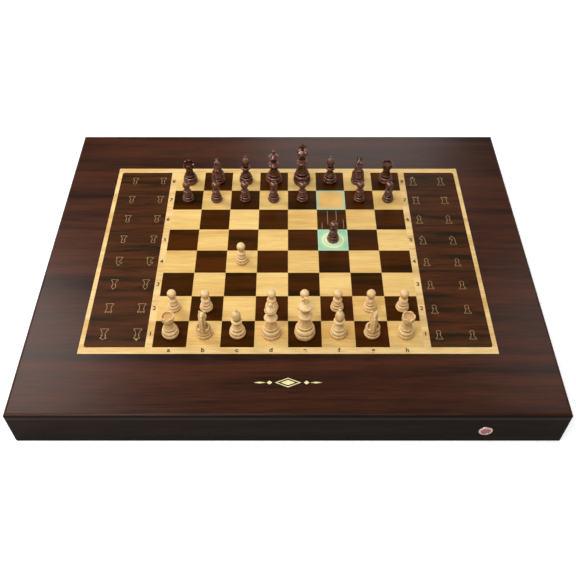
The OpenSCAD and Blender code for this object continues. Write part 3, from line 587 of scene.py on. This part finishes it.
# in mm, but for the grooves' height and depth, which are shares of the width, and the ring's of its height
base = {"grooveHigh": 0.07, "grooveDeep": 0.21, "footIn": 1.6, "footHigh": 0.3, "drumRound": 1.3,
        "shoulderIn": 1.4, "ringRound": 0.45, "neckHigh": 0.15}


def baseCuts(width, drum, shoulder, ring, neck):
    # foot, drum, rounded shoulder and ring, parted by grooves; shoulder and ring by their width and height
    groove, deep = width * base["grooveHigh"], width * base["grooveDeep"]
    return [("step", width - base["footIn"], base["footHigh"]),
            ("bead", width, drum - groove / 2, base["drumRound"]),
            ("step", width - deep, groove), ("step", width - base["shoulderIn"], 0),
            ("dome", shoulder[0], shoulder[1] - groove), ("step", shoulder[0] - deep, groove),
            ("bead", *ring, ring[1] * base["ringRound"]), ("step", neck, base["neckHigh"])]


turnings = {
    "pawn": baseCuts(16.4, 4.4, (11.4, 4.0), (12.0, 1.8), 9.4)
    + [("sweep", 6.4, 4.0, 1.7), ("bead", 11.2, 1.8, 0.8), ("dome", 7.4, 0.9), ("sweep", 5.8, 2.2, 1.5),
       ("step", 5.8, 1.5), ("ball", 11.0, 5.5)],
    "rook": baseCuts(20.6, 5.6, (14.6, 5.0), (15.2, 2.1), 12.6)
    + [("sweep", 9.4, 8.6, 1.7), ("bead", 11.4, 1.2, 0.5), ("sweep", 15.0, 3.6, 0.8), ("step", 15.4, 5.9)],
    "bishop": baseCuts(20.0, 5.4, (14.2, 5.0), (14.8, 2.1), 12.0)
    + [("sweep", 7.8, 7.6, 1.7), ("sweep", 13.2, 2.4, 0.8), ("bead", 13.6, 1.7, 0.7), ("dome", 9.0, 1.2),
       ("step", 7.0, 0.8), ("ball", 10.9, 10.2, 1.25)],
    "queen": baseCuts(23.2, 6.0, (16.8, 6.2), (17.4, 2.4), 14.6)
    + [("sweep", 9.6, 11.4, 1.7), ("bead", 11.4, 1.2, 0.4), ("bead", 16.2, 3.2, 1.5),
       ("sweep", 8.0, 4.4, 1.6), ("step", 7.8, 1.6), ("sweep", 14.4, 5.6, 0.75), ("bead", 14.6, 1.3, 0.5),
       ("step", 12.0, 0), ("sweep", 3.6, 5.8, 1.25)],
    "king": baseCuts(25.0, 7.9, (18.2, 6.8), (18.6, 2.6), 15.8)
    + [("sweep", 10.0, 12.6, 1.7), ("bead", 12.0, 1.3, 0.5), ("bead", 17.0, 3.6, 1.7),
       ("sweep", 8.8, 5.2, 1.6), ("step", 8.6, 2.0), ("sweep", 17.8, 7.4, 0.75), ("bead", 18.0, 1.3, 0.6),
       ("step", 14.6, 0), ("sweep", 5.0, 3.2, 1.3)],
    "knight": baseCuts(19.8, 5.2, (16.2, 4.0), (16.4, 0.4), 12.0),
}


def turnedSolid(kind):
    # the wooden body, with the blind hole for its magnet
    hole = piece["magnet"] / 2 + piece["glue"]
    top = piece["felt"] + piece["magnetHigh"] + piece["glue"]
    start = [(0, top), (hole, top), (hole, piece["felt"])]
    outline = turnedOutline(turnings[kind], turnings[kind][0][1] / 2, piece["felt"])
    end = [] if outline[-1][0] == 0 else [(0, outline[-1][1])]
    return lathe(start + outline + end)


rook = {"recess": 6.0, "deep": 2.2, "scallop": 2.8, "lift": 1.6, "cuts": 3, "reach": 12, "beyond": 2}


def makeRook():
    bm = turnedSolid("rook")
    top = topOf(bm)
    bore = bmesh.new()
    rod(bore, (0, 0, top - rook["deep"]), (0, 0, top + rook["beyond"]), rook["recess"], segments=48)
    bm = carved(bm, bore)
    for i in range(rook["cuts"]):
        # each cut runs right across, and so makes two dips in the rim
        scallop = bmesh.new()
        a = pi * i / rook["cuts"] + pi / 6
        way = Vector((cos(a), sin(a), 0)) * rook["reach"]
        high = Vector((0, 0, top + rook["lift"]))
        rod(scallop, high - way, high + way, rook["scallop"], segments=24)
        bm = carved(bm, scallop)
    return bm


bishop = {"slit": 1.0, "tilt": 38, "slitAt": (-1.4, 33.2), "slitEnds": (-8, 0.6), "slitHalf": 8,
          "finial": 3.8, "sunk": 0.6}


def makeBishop():
    bm = turnedSolid("bishop")
    top = topOf(bm)
    slit = bmesh.new()
    (outer, inner), half = bishop["slitEnds"], bishop["slitHalf"]
    block(slit, (outer, -half, 0), (inner, half, bishop["slit"]))
    x, z = bishop["slitAt"]
    bmesh.ops.transform(slit, matrix=Matrix.Translation((x, 0, z))
                        @ Matrix.Rotation(radians(bishop["tilt"]), 4, "Y"), verts=slit.verts)
    bm = carved(bm, slit)
    ball = bmesh.new()
    ellipsoid(ball, (0, 0, top + bishop["finial"] / 2 - bishop["sunk"]), (bishop["finial"] / 2,) * 3)
    return carved(bm, ball, "UNION")


queen = {"points": 8, "dip": 0.35, "rimDown": 5.0, "band": (-2.2, 0.6), "bandFrom": 6.4,
         "ball": 4.8, "sunk": 0.5}


def makeQueen():
    bm = turnedSolid("queen")
    top = topOf(bm)
    low, high = (top - queen["rimDown"] + end for end in queen["band"])
    # the rim of the crown rises and falls in shallow points
    for v in bm.verts:
        if low < v.co.z < high and v.co.xy.length > queen["bandFrom"]:
            v.co.z += queen["dip"] * (cos(queen["points"] * v.co.xy.angle_signed(Vector((1, 0)))) - 1)
    ball = bmesh.new()
    ellipsoid(ball, (0, 0, top + queen["ball"] / 2 - queen["sunk"]), (queen["ball"] / 2,) * 3)
    return carved(bm, ball, "UNION")


king = {"cross": 11.15, "sunk": 1.2, "middle": 0.6, "arm": 4.6, "thick": 1.6, "bar": 1.7, "flare": 0.275,
        "voxel": 0.3}


def makeKing():
    bm = turnedSolid("king")
    top = topOf(bm)
    cross = bmesh.new()
    foot = top - king["sunk"]
    height = king["cross"]
    middle = foot + height * king["middle"]
    # a cross whose four arms widen a little outwards
    arms = ((0, king["arm"]), (pi / 2, foot + height - middle), (pi, king["arm"]), (-pi / 2, middle - foot))
    for a, reach in arms:
        verts = block(cross, (0, -king["thick"], -king["bar"]), (reach, king["thick"], king["bar"]))
        for v in verts:
            if v.co.x > reach / 2:
                v.co.z *= 1 + king["flare"]
        bmesh.ops.rotate(cross, verts=verts, cent=(0, 0, 0), matrix=Matrix.Rotation(-a, 3, "Y"))
        bmesh.ops.translate(cross, verts=verts, vec=(0, 0, middle))
    cross = evaluated(cross, [("REMESH", {"mode": "VOXEL", "voxel_size": king["voxel"]}),
                              ("SMOOTH", {"iterations": 3})])
    return carved(bm, cross, "UNION")


# a knight's head and neck: rings from the base to the nose, each given by its point on the crest,
# its point on the chest or throat (forward, up from the base) and its half width
knight = {
    "rings": ((-8.6, -0.6, 8.6, -0.6, 8.8), (-8.6, 2.0, 8.2, 1.6, 9.0), (-8.4, 4.6, 7.2, 4.0, 8.8),
              (-8.1, 7.6, 5.8, 6.6, 7.9), (-7.9, 11.0, 4.0, 9.4, 6.3), (-7.6, 14.6, 2.6, 11.6, 5.0),
              (-6.8, 18.6, 2.0, 13.6, 4.3), (-5.4, 22.6, 2.6, 14.6, 4.3), (-3.4, 26.2, 3.8, 14.6, 4.2),
              (-0.6, 28.4, 5.0, 13.8, 3.8), (2.2, 27.8, 6.0, 12.8, 3.4), (4.4, 25.0, 6.8, 11.8, 3.0),
              (6.4, 21.2, 7.4, 10.9, 2.7), (8.2, 17.4, 8.2, 10.4, 2.6), (9.2, 14.4, 8.7, 10.8, 2.2)),
    "sides": 20, "lift": 9.9, "roughVoxel": 0.4, "voxel": 0.34,
    # the mane is a ridge along the crest, from one ring to another
    "maneRings": (2, 9), "maneSize": (1.8, 2.1, 1.5), "maneOut": 0.25, "locks": 7, "lockDepth": 0.22,
    "mouth": ((-6, 7.0, 12.1), (6, 12, 12.8)),
}
# on both sides of the head: rounded forms by their middle, radii and tilt in degrees
raisedForms = {"cheek": ((2.7, 2.6, 19.2), (2.5, 3.6, 4.4), 20),
               "brow": ((2.6, 4.3, 25.6), (1.6, 2.2, 1.3), -50),
               "nostrilWing": ((1.5, 8.5, 14.2), (1.6, 1.5, 2.1), 10)}
hollowForms = {"besideMane": ((5.5, -6.4, 10.0), (2.6, 5.0, 4.8), 10),
               "chest": ((6.6, 4.6, 9.6), (2.2, 3.0, 5.2), -24),
               "eyeSocket": ((4.35, 4.9, 24.0), (1.0, 1.35, 0.95), -50),
               "nostril": ((2.75, 9.3, 14.5), (0.8, 0.7, 0.9), 0)}
eyes = {"eye": ((3.75, 4.9, 24.0), (0.85, 0.95, 0.75), -50)}
# and long ones by their two ends and the radius at each
ears = {"ear": ((2.1, -1.6, 26.0), (2.7, -0.2, 33.6), 1.9, 0.35)}
folds = {"insideEar": ((3.0, -0.4, 28.6), (3.6, 1.6, 34.0), 0.75, 0.9),
         "chestInner": ((1.2, 5.4, 9.4), (4.0, 8.6, 0.2), 0.8, 0.8),
         "chestOuter": ((3.6, 4.6, 9.4), (7.0, 6.0, 0.6), 0.8, 0.8),
         "back": ((1.6, -8.4, 9.0), (4.4, -8.2, 1.0), 0.6, 0.6)}


def knightRing(bm, ring):
    crestY, crestZ, throatY, throatZ, half = ring
    crest, throat = Vector((0, crestY, crestZ)), Vector((0, throatY, throatZ))
    middle, up = (crest + throat) / 2, (crest - throat) / 2
    frameOfRing = Matrix.Translation(middle) @ Matrix(((half, 0, 0), (0, up.y, 0), (0, up.z, 0))).to_4x4()
    frameOfRing.col[2] = (0, 0, 0, 0)
    made = bmesh.ops.create_circle(bm, cap_ends=False, segments=knight["sides"], radius=1,
                                   matrix=frameOfRing)["verts"]
    return list({e for v in made for e in v.link_edges})


def loft(bm, rings):
    edges = [knightRing(bm, ring) for ring in rings]
    for lower, upper in zip(edges, edges[1:]):
        bmesh.ops.bridge_loops(bm, edges=lower + upper)
    bmesh.ops.holes_fill(bm, edges=edges[0] + edges[-1], sides=0)


def onBothSides(bm, rounded, long):
    for side in (-1, 1):
        for (x, y, z), radii, tilt in rounded.values():
            ellipsoid(bm, (side * x, y, z), radii, radians(tilt))
        for (x, y, z), (endX, endY, endZ), radius, endRadius in long.values():
            rod(bm, (side * x, y, z), (side * endX, endY, endZ), radius, endRadius)


def addMane(head):
    # overlapping forms along the crest, larger and smaller by turns, so that they part into locks
    first, last = knight["maneRings"]
    wide, deep, long = knight["maneSize"]
    crest = [Vector((0, r[0], r[1])) for r in knight["rings"][first:last + 1]]
    steps = 5 * (len(crest) - 1)
    for i in range(steps):
        s = i / steps * (len(crest) - 1)
        j = int(s)
        at = crest[j].lerp(crest[j + 1], s - j)
        way = (crest[j + 1] - crest[j]).normalized()
        out = Vector((0, -way.z, way.y))
        lock = 1 - knight["lockDepth"] * (1 - abs(cos(pi * knight["locks"] * i / steps)))
        ellipsoid(head, at + out * knight["maneOut"], (wide, deep * lock, long * lock))


def makeKnight():
    head = bmesh.new()
    loft(head, knight["rings"])
    addMane(head)
    onBothSides(head, raisedForms, ears)
    head = evaluated(head, [("REMESH", {"mode": "VOXEL", "voxel_size": knight["roughVoxel"]})])
    cuts = bmesh.new()
    block(cuts, *knight["mouth"])
    onBothSides(cuts, hollowForms, folds)
    head = carved(head, cuts)
    balls = bmesh.new()
    onBothSides(balls, eyes, {})
    head = carved(head, balls, "UNION")
    head = evaluated(head, [("REMESH", {"mode": "VOXEL", "voxel_size": knight["voxel"]}),
                            ("SMOOTH", {"iterations": 4, "factor": 0.5})])
    bmesh.ops.translate(head, verts=head.verts, vec=(0, 0, piece["felt"] + knight["lift"]))
    return carved(turnedSolid("knight"), head, "UNION")


def feltDisc():
    width, high = piece["magnet"] + piece["feltWider"], piece["felt"] - piece["glue"]
    rim = turnedOutline([("bead", width, high, 0.2)], width / 2 - 0.2, 0)
    return lathe([(0, 0)] + rim + [(0, high)], 48)


def magnetSlug():
    low, high = piece["felt"], piece["felt"] + piece["magnetHigh"]
    r, bevel = piece["magnet"] / 2, piece["magnetBevel"]
    return lathe([(0, low), (r - bevel, low), (r, low + bevel), (r, high - bevel), (r - bevel, high),
                  (0, high)], 40)


turnedWoods = {
    "boxwood": {"dark": tint(216, 164, 96), "mid": tint(238, 190, 122), "light": tint(248, 212, 150),
                "paintedShadeColour": tint(136, 82, 32), "paintedShadeShare": 0.9, "rubbed": tint(255, 230, 184), "rub": 0.5,
                "roughness": 0.42, "coat": 0.1, "layer": 1.5, "gloss": 0.25},
    "dark_rosewood": {"dark": tint(30, 8, 1), "mid": tint(60, 20, 6), "light": tint(92, 36, 13),
                      "paintedShadeColour": tint(18, 4, 0), "paintedShadeShare": 0.9, "rubbed": tint(158, 86, 54), "rub": 0.42,
                      "roughness": 0.34, "coat": 1.0, "layer": 1.7, "gloss": 0.1},
}


def turnedWood(name):
    # upright grain, as in a turned blank, under a thin polish
    look = turnedWoods[name]
    finish = Finish(name, Coat_Roughness=0.06, Coat_IOR=look["layer"],
                    Specular_IOR_Level=look["gloss"], Specular_Tint=sheen)
    upright = finish.where(stretch=(1, 1, 0.09))
    rings = finish.noise(upright, 190, 3, 0.5, 0.8)
    fibres = finish.noise(upright, 1500, 3, 0.6)
    tone = rings * 0.65 + fibres * 0.35
    colour = finish.ramp(tone, (0.34, look["dark"]), (0.66, look["light"]), (0.5, look["mid"]))
    hollow = finish.node("Attribute", {"attribute_name": "hollow"}, output="Fac")
    rubbed = finish.node("Attribute", {"attribute_name": "rubbed"}, output="Fac")
    # painted highlight: lighter colour on the rims that face up, where light falls
    colour = finish.mix(rubbed * look["rub"], colour, look["rubbed"])
    # painted shade: darker colour in the hollows and grooves between the tiers
    colour = finish.mix(hollow * look["paintedShadeShare"], colour, look["paintedShadeColour"])
    finish.bump(fibres, 0.2, 0.00001)
    level = finish.node("Attribute", {"attribute_name": "level"}, output="Fac")
    return finish.paint(Base_Color=colour, Roughness=look["roughness"] - 0.04 + fibres * 0.08,
                        Coat_Weight=(1 - level * 0.95) * look["coat"])


def feltFinish():
    finish = Finish("baize", Roughness=0.95, Sheen_Weight=0.4)
    fuzz = finish.noise(finish.where(), 3500, 4, 0.7)
    finish.bump(fuzz, 0.6, 0.0001)
    return finish.paint(Base_Color=finish.mix(fuzz, tint(22, 52, 34), tint(44, 88, 60)))


# near: how far up and down the wood round a point counts; deep: the depth that gets the full painted shade,
# in mm;
# the rest are shares of a facing: 1 is straight up
shadeHighlightAndPolish = {"near": 2.2, "deep": 1.5, "overhang": 0.4, "blur": 5, "dent": 0.02,
        "levelFrom": 0.96, "levelOver": 0.035, "rimFrom": 0.25, "rimOver": 0.35, "rimFades": 0.25}


def clamped(*values):
    return max(0, min(1, *values))


def dentsOf(bm):
    # how far each point of a carved piece lies in a dent, taken over its neighbourhood, for the painted shade
    depth = {v: sum((e.other_vert(v).co - v.co).dot(v.normal) for e in v.link_edges) / len(v.link_edges)
             for v in bm.verts}
    for _ in range(shadeHighlightAndPolish["blur"]):
        depth = {v: (depth[v] + sum(depth[e.other_vert(v)] for e in v.link_edges)) / (len(v.link_edges) + 1)
                 for v in bm.verts}
    return {v: clamped(d / shadeHighlightAndPolish["dent"]) for v, d in depth.items()}


def markShadeHighlightAndPolish(bm, kind):
    # fractions for each point: how far it lies back from the wood round it, where shade is painted darker,
    # how far it faces up on a rim, where a highlight is painted lighter, and how level it lies, where no
    # cloth polishes it
    outline = turnedOutline(turnings[kind], turnings[kind][0][1] / 2, piece["felt"])
    hollow = bm.verts.layers.float.new("hollow")
    rubbed = bm.verts.layers.float.new("rubbed")
    level = bm.verts.layers.float.new("level")
    bm.normal_update()
    dents = dentsOf(bm) if kind == "knight" else {}
    for v in bm.verts:
        above = max((r for r, z in outline if 0 <= z - v.co.z < shadeHighlightAndPolish["near"]), default=0)
        below = max((r for r, z in outline if 0 <= v.co.z - z < shadeHighlightAndPolish["near"]), default=0)
        between = max(0, min(above, below) - v.co.xy.length)
        under = max(0, above - v.co.xy.length)
        # painted shade: the deeper a point lies in a hollow or dent, the darker
        v[hollow] = min(1, (between + under * shadeHighlightAndPolish["overhang"]) / shadeHighlightAndPolish["deep"] + dents.get(v, 0))
        facing = max(f.normal.z for f in v.link_faces)
        v[level] = clamped((facing - shadeHighlightAndPolish["levelFrom"]) / shadeHighlightAndPolish["levelOver"])
        # painted highlight on rims that face up
        rim = clamped((v.normal.z - shadeHighlightAndPolish["rimFrom"]) / shadeHighlightAndPolish["rimOver"], (1 - v.normal.z) / shadeHighlightAndPolish["rimFades"])
        v[rubbed] = rim * (1 - v[hollow]) * (1 - v[level])


def makePieces():
    makers = {"pawn": lambda: turnedSolid("pawn"), "rook": makeRook, "knight": makeKnight,
              "bishop": makeBishop, "queen": makeQueen, "king": makeKing}
    solids = {}
    for kind, maker in makers.items():
        bm = maker()
        bmesh.ops.triangulate(bm, faces=[f for f in bm.faces if len(f.verts) > 4])
        markShadeHighlightAndPolish(bm, kind)
        solids[kind] = bpy.data.meshes.new(kind)
        bm.to_mesh(solids[kind])
        bm.free()
        print("turned the", kind, len(solids[kind].polygons), "faces")
    slots = {"white": "boxwood", "black": "dark_rosewood"}
    polish = {side: turnedWood(name) for side, name in slots.items()}
    baize = feltFinish()
    iron = brushed("slugSteel", tint(176, 178, 182), (1, 1, 0.1), 0.3)
    for name in sorted(nodes):
        side, *rest = name.split("_")
        if side not in polish:
            continue
        low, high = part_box(name)
        spot = {"x": (low.x + high.x) / 2, "y": centreOf(name, rest), "z": low.z,
                "turn": 0 if side == "white" else pi}
        bm = bmesh.new()
        bm.from_mesh(solids[rest[0]])
        addPiece(name + ".wood", placed(bm, **spot), polish[side], name, (name,))
        addPiece(name + ".felt", placed(feltDisc(), **spot), baize, name)
        addPiece(name + ".magnet", placed(magnetSlug(), **spot), iron, name)


def centreOf(name, rest):
    # the middle of a piece's round base, front to back, which a knight's head may overhang
    low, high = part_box(name)
    if rest[0] != "knight":
        return (low.y + high.y) / 2
    y = (low.y + high.y) / 2 - field["shift"]
    return (round(y / field["cell"] - 0.5) + 0.5) * field["cell"] + field["shift"]


makePieces()
print("chess pieces made")

# marks on the field

marks = {"top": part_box("light_squares")[1].z, "thick": 0.00005, "line": 0.45, "text": 0.0086,
         "bold": 0.03, "under": 0.0042, "beside": 0.0043, "iconMiddle": 8,
         "ink": tint(38, 24, 12), "gold": tint(176, 142, 92)}


def arc(x, y, r, start, end, steps=8):
    # points from one angle to the other, in degrees
    return [(x + r * cos(radians(start + (end - start) * i / steps)),
             y + r * sin(radians(start + (end - start) * i / steps))) for i in range(steps + 1)]


# right half of each outlined chess piece, from the middle of its foot to the middle of its top
icons = {
    "pawn": [(0, 0), (4.2, 0), (4.2, 1.8), (3.0, 2.6), (1.7, 6.8), (2.8, 7.6), (1.6, 8.4)]
    + arc(0, 10.8, 2.8, -52, 90),
    "rook": [(0, 0), (4.8, 0), (4.8, 2), (3.4, 3.2), (2.7, 9.6), (4.2, 11.4), (4.2, 14.6), (2.6, 14.6),
             (2.6, 13.4), (1.0, 13.4), (1.0, 14.6), (0, 14.6)],
    "bishop": [(0, 0), (4.4, 0), (4.4, 1.8), (3.0, 2.8), (1.6, 7.4), (2.8, 8.2), (1.6, 9.2), (3.1, 11.6),
               (2.6, 13.2), (0.9, 15.4), (0, 16.4)],
    "queen": [(0, 0), (4.9, 0), (4.9, 2), (3.4, 3.2), (1.8, 9.0), (3.2, 10.0), (2.0, 11.0), (4.4, 15.6),
              (2.4, 14.4), (1.2, 16.2), (0, 16.8)],
    "king": [(0, 0), (4.9, 0), (4.9, 2), (3.4, 3.2), (1.8, 9.0), (3.2, 10.0), (2.0, 11.0), (4.0, 14.6),
             (0.6, 15.2), (0.6, 16.2), (1.7, 16.2), (1.7, 17.2), (0.6, 17.2), (0.6, 18.2), (0, 18.2)],
}
knightIcon = [(-4.4, 0), (4.4, 0), (4.4, 1.8), (3.2, 2.8), (3.4, 7.0), (2.6, 11.6), (0.6, 14.4), (-0.8, 16.0),
              (-1.4, 14.2), (-4.6, 10.4), (-4.0, 8.8), (-1.6, 9.4), (-0.6, 8.2), (-3.0, 4.4), (-3.2, 2.8),
              (-4.4, 1.8)]


def outlineOf(kind):
    if kind == "knight":
        return knightIcon
    half = icons[kind]
    return half[1:-1] + [half[-1]] + [(-x, y) for x, y in reversed(half[1:-1])]


def laid(bm, faces, x, y, turn=0.0):
    # flat faces made as thick as inlay, and let into the field so that they stand a little proud
    raised = bmesh.ops.extrude_face_region(bm, geom=faces, use_keep_orig=True)["geom"]
    bmesh.ops.translate(bm, verts=[v for v in raised if isinstance(v, bmesh.types.BMVert)],
                        vec=(0, 0, marks["thick"] / mm))
    bmesh.ops.recalc_face_normals(bm, faces=bm.faces)
    placed(bm, x, y, marks["top"] - marks["thick"] * 0.4, turn)


def addIcon(bm, kind, x, y, turn):
    # a closed line of even width, from the outline of a piece
    icon = bmesh.new()
    face = icon.faces.new([icon.verts.new((px, py - marks["iconMiddle"], 0)) for px, py in outlineOf(kind)])
    face.normal_update()
    ring = bmesh.ops.inset_region(icon, faces=[face], thickness=marks["line"], use_boundary=True,
                                  use_even_offset=True)["faces"]
    bmesh.ops.delete(icon, geom=[face], context="FACES_ONLY")
    laid(icon, ring, x, y, turn)
    take(bm, icon)


def take(bm, part):
    # adds a finished part to a bmesh
    mesh = bpy.data.meshes.new("part")
    part.to_mesh(mesh)
    part.free()
    bm.from_mesh(mesh)
    bpy.data.meshes.remove(mesh)


def makeTrayMarks():
    rows = ["pawn"] * 4 + ["knight", "bishop", "rook"]
    trays = bmesh.new()
    for side in (-1, 1):
        for column, last in ((0, "king"), (1, "queen")):
            x = side * (column + 4.5) * field["cell"]
            for row, kind in enumerate(rows + [last]):
                rank = row if side > 0 else 7 - row
                y = squareCentre(0, rank)[1]
                addIcon(trays, kind, x, y, 0 if side > 0 else pi)
    gold = moulded("markGold", marks["gold"], 0.45, scale=2000)
    addPiece("trayMarks", trays, gold, "case")


def addText(bm, text, x, y, size):
    words = bpy.data.curves.new("words", "FONT")
    words.body = text
    words.size = size
    words.align_x = "CENTER"
    words.align_y = "CENTER"
    words.extrude = marks["thick"] / 2
    words.offset = size * marks["bold"]
    scratch = bpy.data.objects.new("words", words)
    bpy.context.scene.collection.objects.link(scratch)
    part = bmesh.new()
    part.from_mesh(scratch.evaluated_get(bpy.context.evaluated_depsgraph_get()).to_mesh())
    bpy.data.objects.remove(scratch)
    bmesh.ops.remove_doubles(part, verts=part.verts, dist=0.000001)
    placed(part, x, y, marks["top"] + marks["thick"] * 0.1, 0, 1)
    take(bm, part)


def makeLettering():
    letters = bmesh.new()
    edge = 4 * field["cell"]
    for i in range(8):
        x, y = squareCentre(i, i)
        addText(letters, "abcdefgh"[i], x, field["shift"] - edge - marks["under"], marks["text"])
        for side in (-1, 1):
            addText(letters, str(i + 1), side * (edge + marks["beside"]), y, marks["text"])
    addPiece("fieldLettering", letters, moulded("markInk", marks["ink"], 0.6), "case")


# a plain lozenge inlay in the front margin: the half sizes of its lozenges in mm, and how far out each
# side's small one and its bar lie
inlay = {"y": -0.207, "outer": (15, 6.5), "line": 1.1, "inner": 0.55, "small": (3.2, 2.6), "smallAt": 21,
         "bar": (7, 1.2), "barAt": 32}


def lozenge(bm, x, wide, tall):
    made = bmesh.ops.create_circle(bm, cap_ends=True, segments=4, radius=1,
                                   matrix=Matrix.Translation((x, 0, 0)) @ Matrix.Diagonal((wide, tall, 1, 1)))
    return made["verts"][0].link_faces[0]


def makeFrontInlay():
    bm = bmesh.new()
    wide, tall = inlay["outer"]
    outer = lozenge(bm, 0, wide, tall)
    outer.normal_update()
    bmesh.ops.inset_region(bm, faces=[outer], thickness=inlay["line"], use_boundary=True,
                           use_even_offset=True)
    bmesh.ops.delete(bm, geom=[outer], context="FACES_ONLY")
    lozenge(bm, 0, wide * inlay["inner"], tall * inlay["inner"])
    for side in (-1, 1):
        lozenge(bm, side * inlay["smallAt"], *inlay["small"])
        lozenge(bm, side * inlay["barAt"], *inlay["bar"])
    laid(bm, bm.faces[:], 0, inlay["y"])
    gold = moulded("inlayGold", tint(232, 222, 160), 0.4, scale=2000)
    addPiece("frontInlay", bm, gold, "case")


makeTrayMarks()
makeLettering()
makeFrontInlay()
print("marks made")

# power button

# in mm: the dish in the cap's face, its rounded rim, the bezel's lip, the barrel behind it and what closes it
button = {"dish": 0.8, "lip": 1.2, "bevel": 0.35, "barrel": 6.2, "behind": 6.2, "loose": 0.05}


def makeButton():
    bezelLow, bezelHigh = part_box("button_bezel")
    capLow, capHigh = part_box("button_cap")
    middle = Vector(((capLow.x + capHigh.x) / 2, 0, (capLow.z + capHigh.z) / 2))
    outer = (bezelHigh.x - bezelLow.x) / 2 / mm
    wide = (capHigh.x - capLow.x) / 2 / mm
    bore = wide + button["loose"]
    deep = (bezelHigh.y - bezelLow.y) / mm
    lip, bevel, barrel, dish = (button[key] for key in ("lip", "bevel", "barrel", "dish"))
    room = deep - button["behind"]
    # outlines run along the button's axis, from its face inwards
    bezel = [(bore, room), (bore, bevel)]
    bezel += [(bore + bevel - bevel * cos(a), bevel - bevel * sin(a)) for a in (pi / 6, pi / 3, pi / 2)]
    roll = lip - 0.2
    bezel += [(outer - roll + roll * sin(a), roll * (1 - cos(a)))
              for a in (0, pi / 8, pi / 4, 3 * pi / 8, pi / 2)]
    bezel += [(outer, lip), (barrel, lip), (barrel, deep), (0, deep), (0, room), (bore, room)]
    long = (capHigh.y - capLow.y) / mm
    cap = [(0, dish), (wide * 0.3, dish * 0.92), (wide * 0.6, dish * 0.62), (wide * 0.8, dish * 0.2),
           (wide - 0.5, 0.0), (wide - 0.15, 0.12), (wide, 0.45), (wide, long), (0, long)]
    facing = Matrix.Rotation(-pi / 2, 4, "X")
    polished = brushed("buttonRim", tint(226, 200, 196), (1, 1, 1), 0.16)
    copper = brushed("buttonFace", tint(186, 108, 104), (1, 1, 1), 0.2)
    for name, outline, material, body, at in (("button_bezel", bezel, polished, "case", bezelLow.y),
                                              ("button_cap", cap, copper, "power_button", capLow.y)):
        bm = lathe(outline, 56)
        bmesh.ops.transform(bm, matrix=Matrix.Translation((middle.x, at, middle.z)) @ facing
                            @ Matrix.Scale(mm, 4), verts=bm.verts)
        bmesh.ops.recalc_face_normals(bm, faces=bm.faces)
        addPiece(name + ".turned", bm, material, body, (name,), 30)


makeButton()
print("button made")

# studio

studio = {
    # each lamp: place, width, height, watts
    "lamps": {"left": ((-0.66, 0.36, 0.75), 0.4, 0.4, 4.4), "right": ((0.7, 0.42, 0.75), 0.4, 0.4, 1.4),
              "back": ((0.2, 1.25, 0.8), 0.6, 0.3, 2.6), "front": ((-0.55, -0.8, 1.1), 0.6, 0.6, 7.5),
              "over": ((-0.15, -0.3, 1.4), 1.6, 0.7, 7.5)},
    "sky": 0.2, "floor": tint(236, 236, 236),
    # the floor's own light: near the case, where it fades to white, and in the gloss
    "lift": 0.55, "far": (0.6, 1.4), "mirrored": 0.165,
    # what shines in the gloss: the pale backdrop near the ground, then less and less
    "backdrop": (0.02, 0.25), "overhead": 0.15,
}


def makeStudio():
    for name, (place, wide, tall, power) in studio["lamps"].items():
        lamp = bpy.data.lights.new(name, "AREA")
        lamp.shape = "RECTANGLE"
        lamp.size = wide
        lamp.size_y = tall
        lamp.energy = power
        holder = bpy.data.objects.new(name, lamp)
        holder.location = place
        holder.rotation_euler = (-Vector(place)).to_track_quat("-Z", "Y").to_euler()
        bpy.context.scene.collection.objects.link(holder)
    bm = bmesh.new()
    bmesh.ops.create_grid(bm, x_segments=1, y_segments=1, size=8)
    mesh = bpy.data.meshes.new("floor")
    bm.to_mesh(mesh)
    bm.free()
    finish = Finish("floorPaper", Roughness=0.9, Specular_IOR_Level=0.0)
    finish.paint(Base_Color=(*studio["floor"], 1))
    direct = finish.node("LightPath", output="Is Camera Ray")
    mirrored = (finish.node("LightPath", output="Is Glossy Ray")
                + finish.node("LightPath", output="Is Transmission Ray"))
    x, y, _ = finish.axes()
    far = finish.smooth((x ** 2 + y ** 2) ** 0.5, *studio["far"])
    lift = studio["lift"] + far * (1 - studio["lift"])
    shine = finish.node("Emission", values={"Color": (1, 1, 1, 1),
                                            "Strength": direct * lift + mirrored * studio["mirrored"]})
    both = finish.node("AddShader", values={0: Wire(finish, finish.shader.outputs[0]), 1: shine})
    finish.tree.links.new(both.socket, finish.tree.nodes["Material Output"].inputs["Surface"])
    floor = bpy.data.objects.new("floor", mesh)
    mesh.materials.append(finish.material)
    bpy.context.scene.collection.objects.link(floor)
    world = bpy.data.worlds.new("studio")
    world.use_nodes = True
    bpy.context.scene.world = world
    sky = Finish.of(world.node_tree)
    height = sky.node("SeparateXYZ", values={0: sky.node("TexCoord", output="Generated")}, output=2)
    low, high = studio["backdrop"]
    dimmed = 1 - sky.smooth(height, low, high) * (1 - studio["overhead"])
    plain = (sky.node("LightPath", output="Is Camera Ray")
             + sky.node("LightPath", output="Is Transmission Ray"))
    glossy = sky.node("LightPath", output="Is Glossy Ray")
    strength = plain + glossy * dimmed + (1 - plain - glossy) * studio["sky"]
    sky.give(world.node_tree.nodes["Background"], {"Color": (1, 1, 1, 1), "Strength": strength})


makeStudio()
print("studio lit")
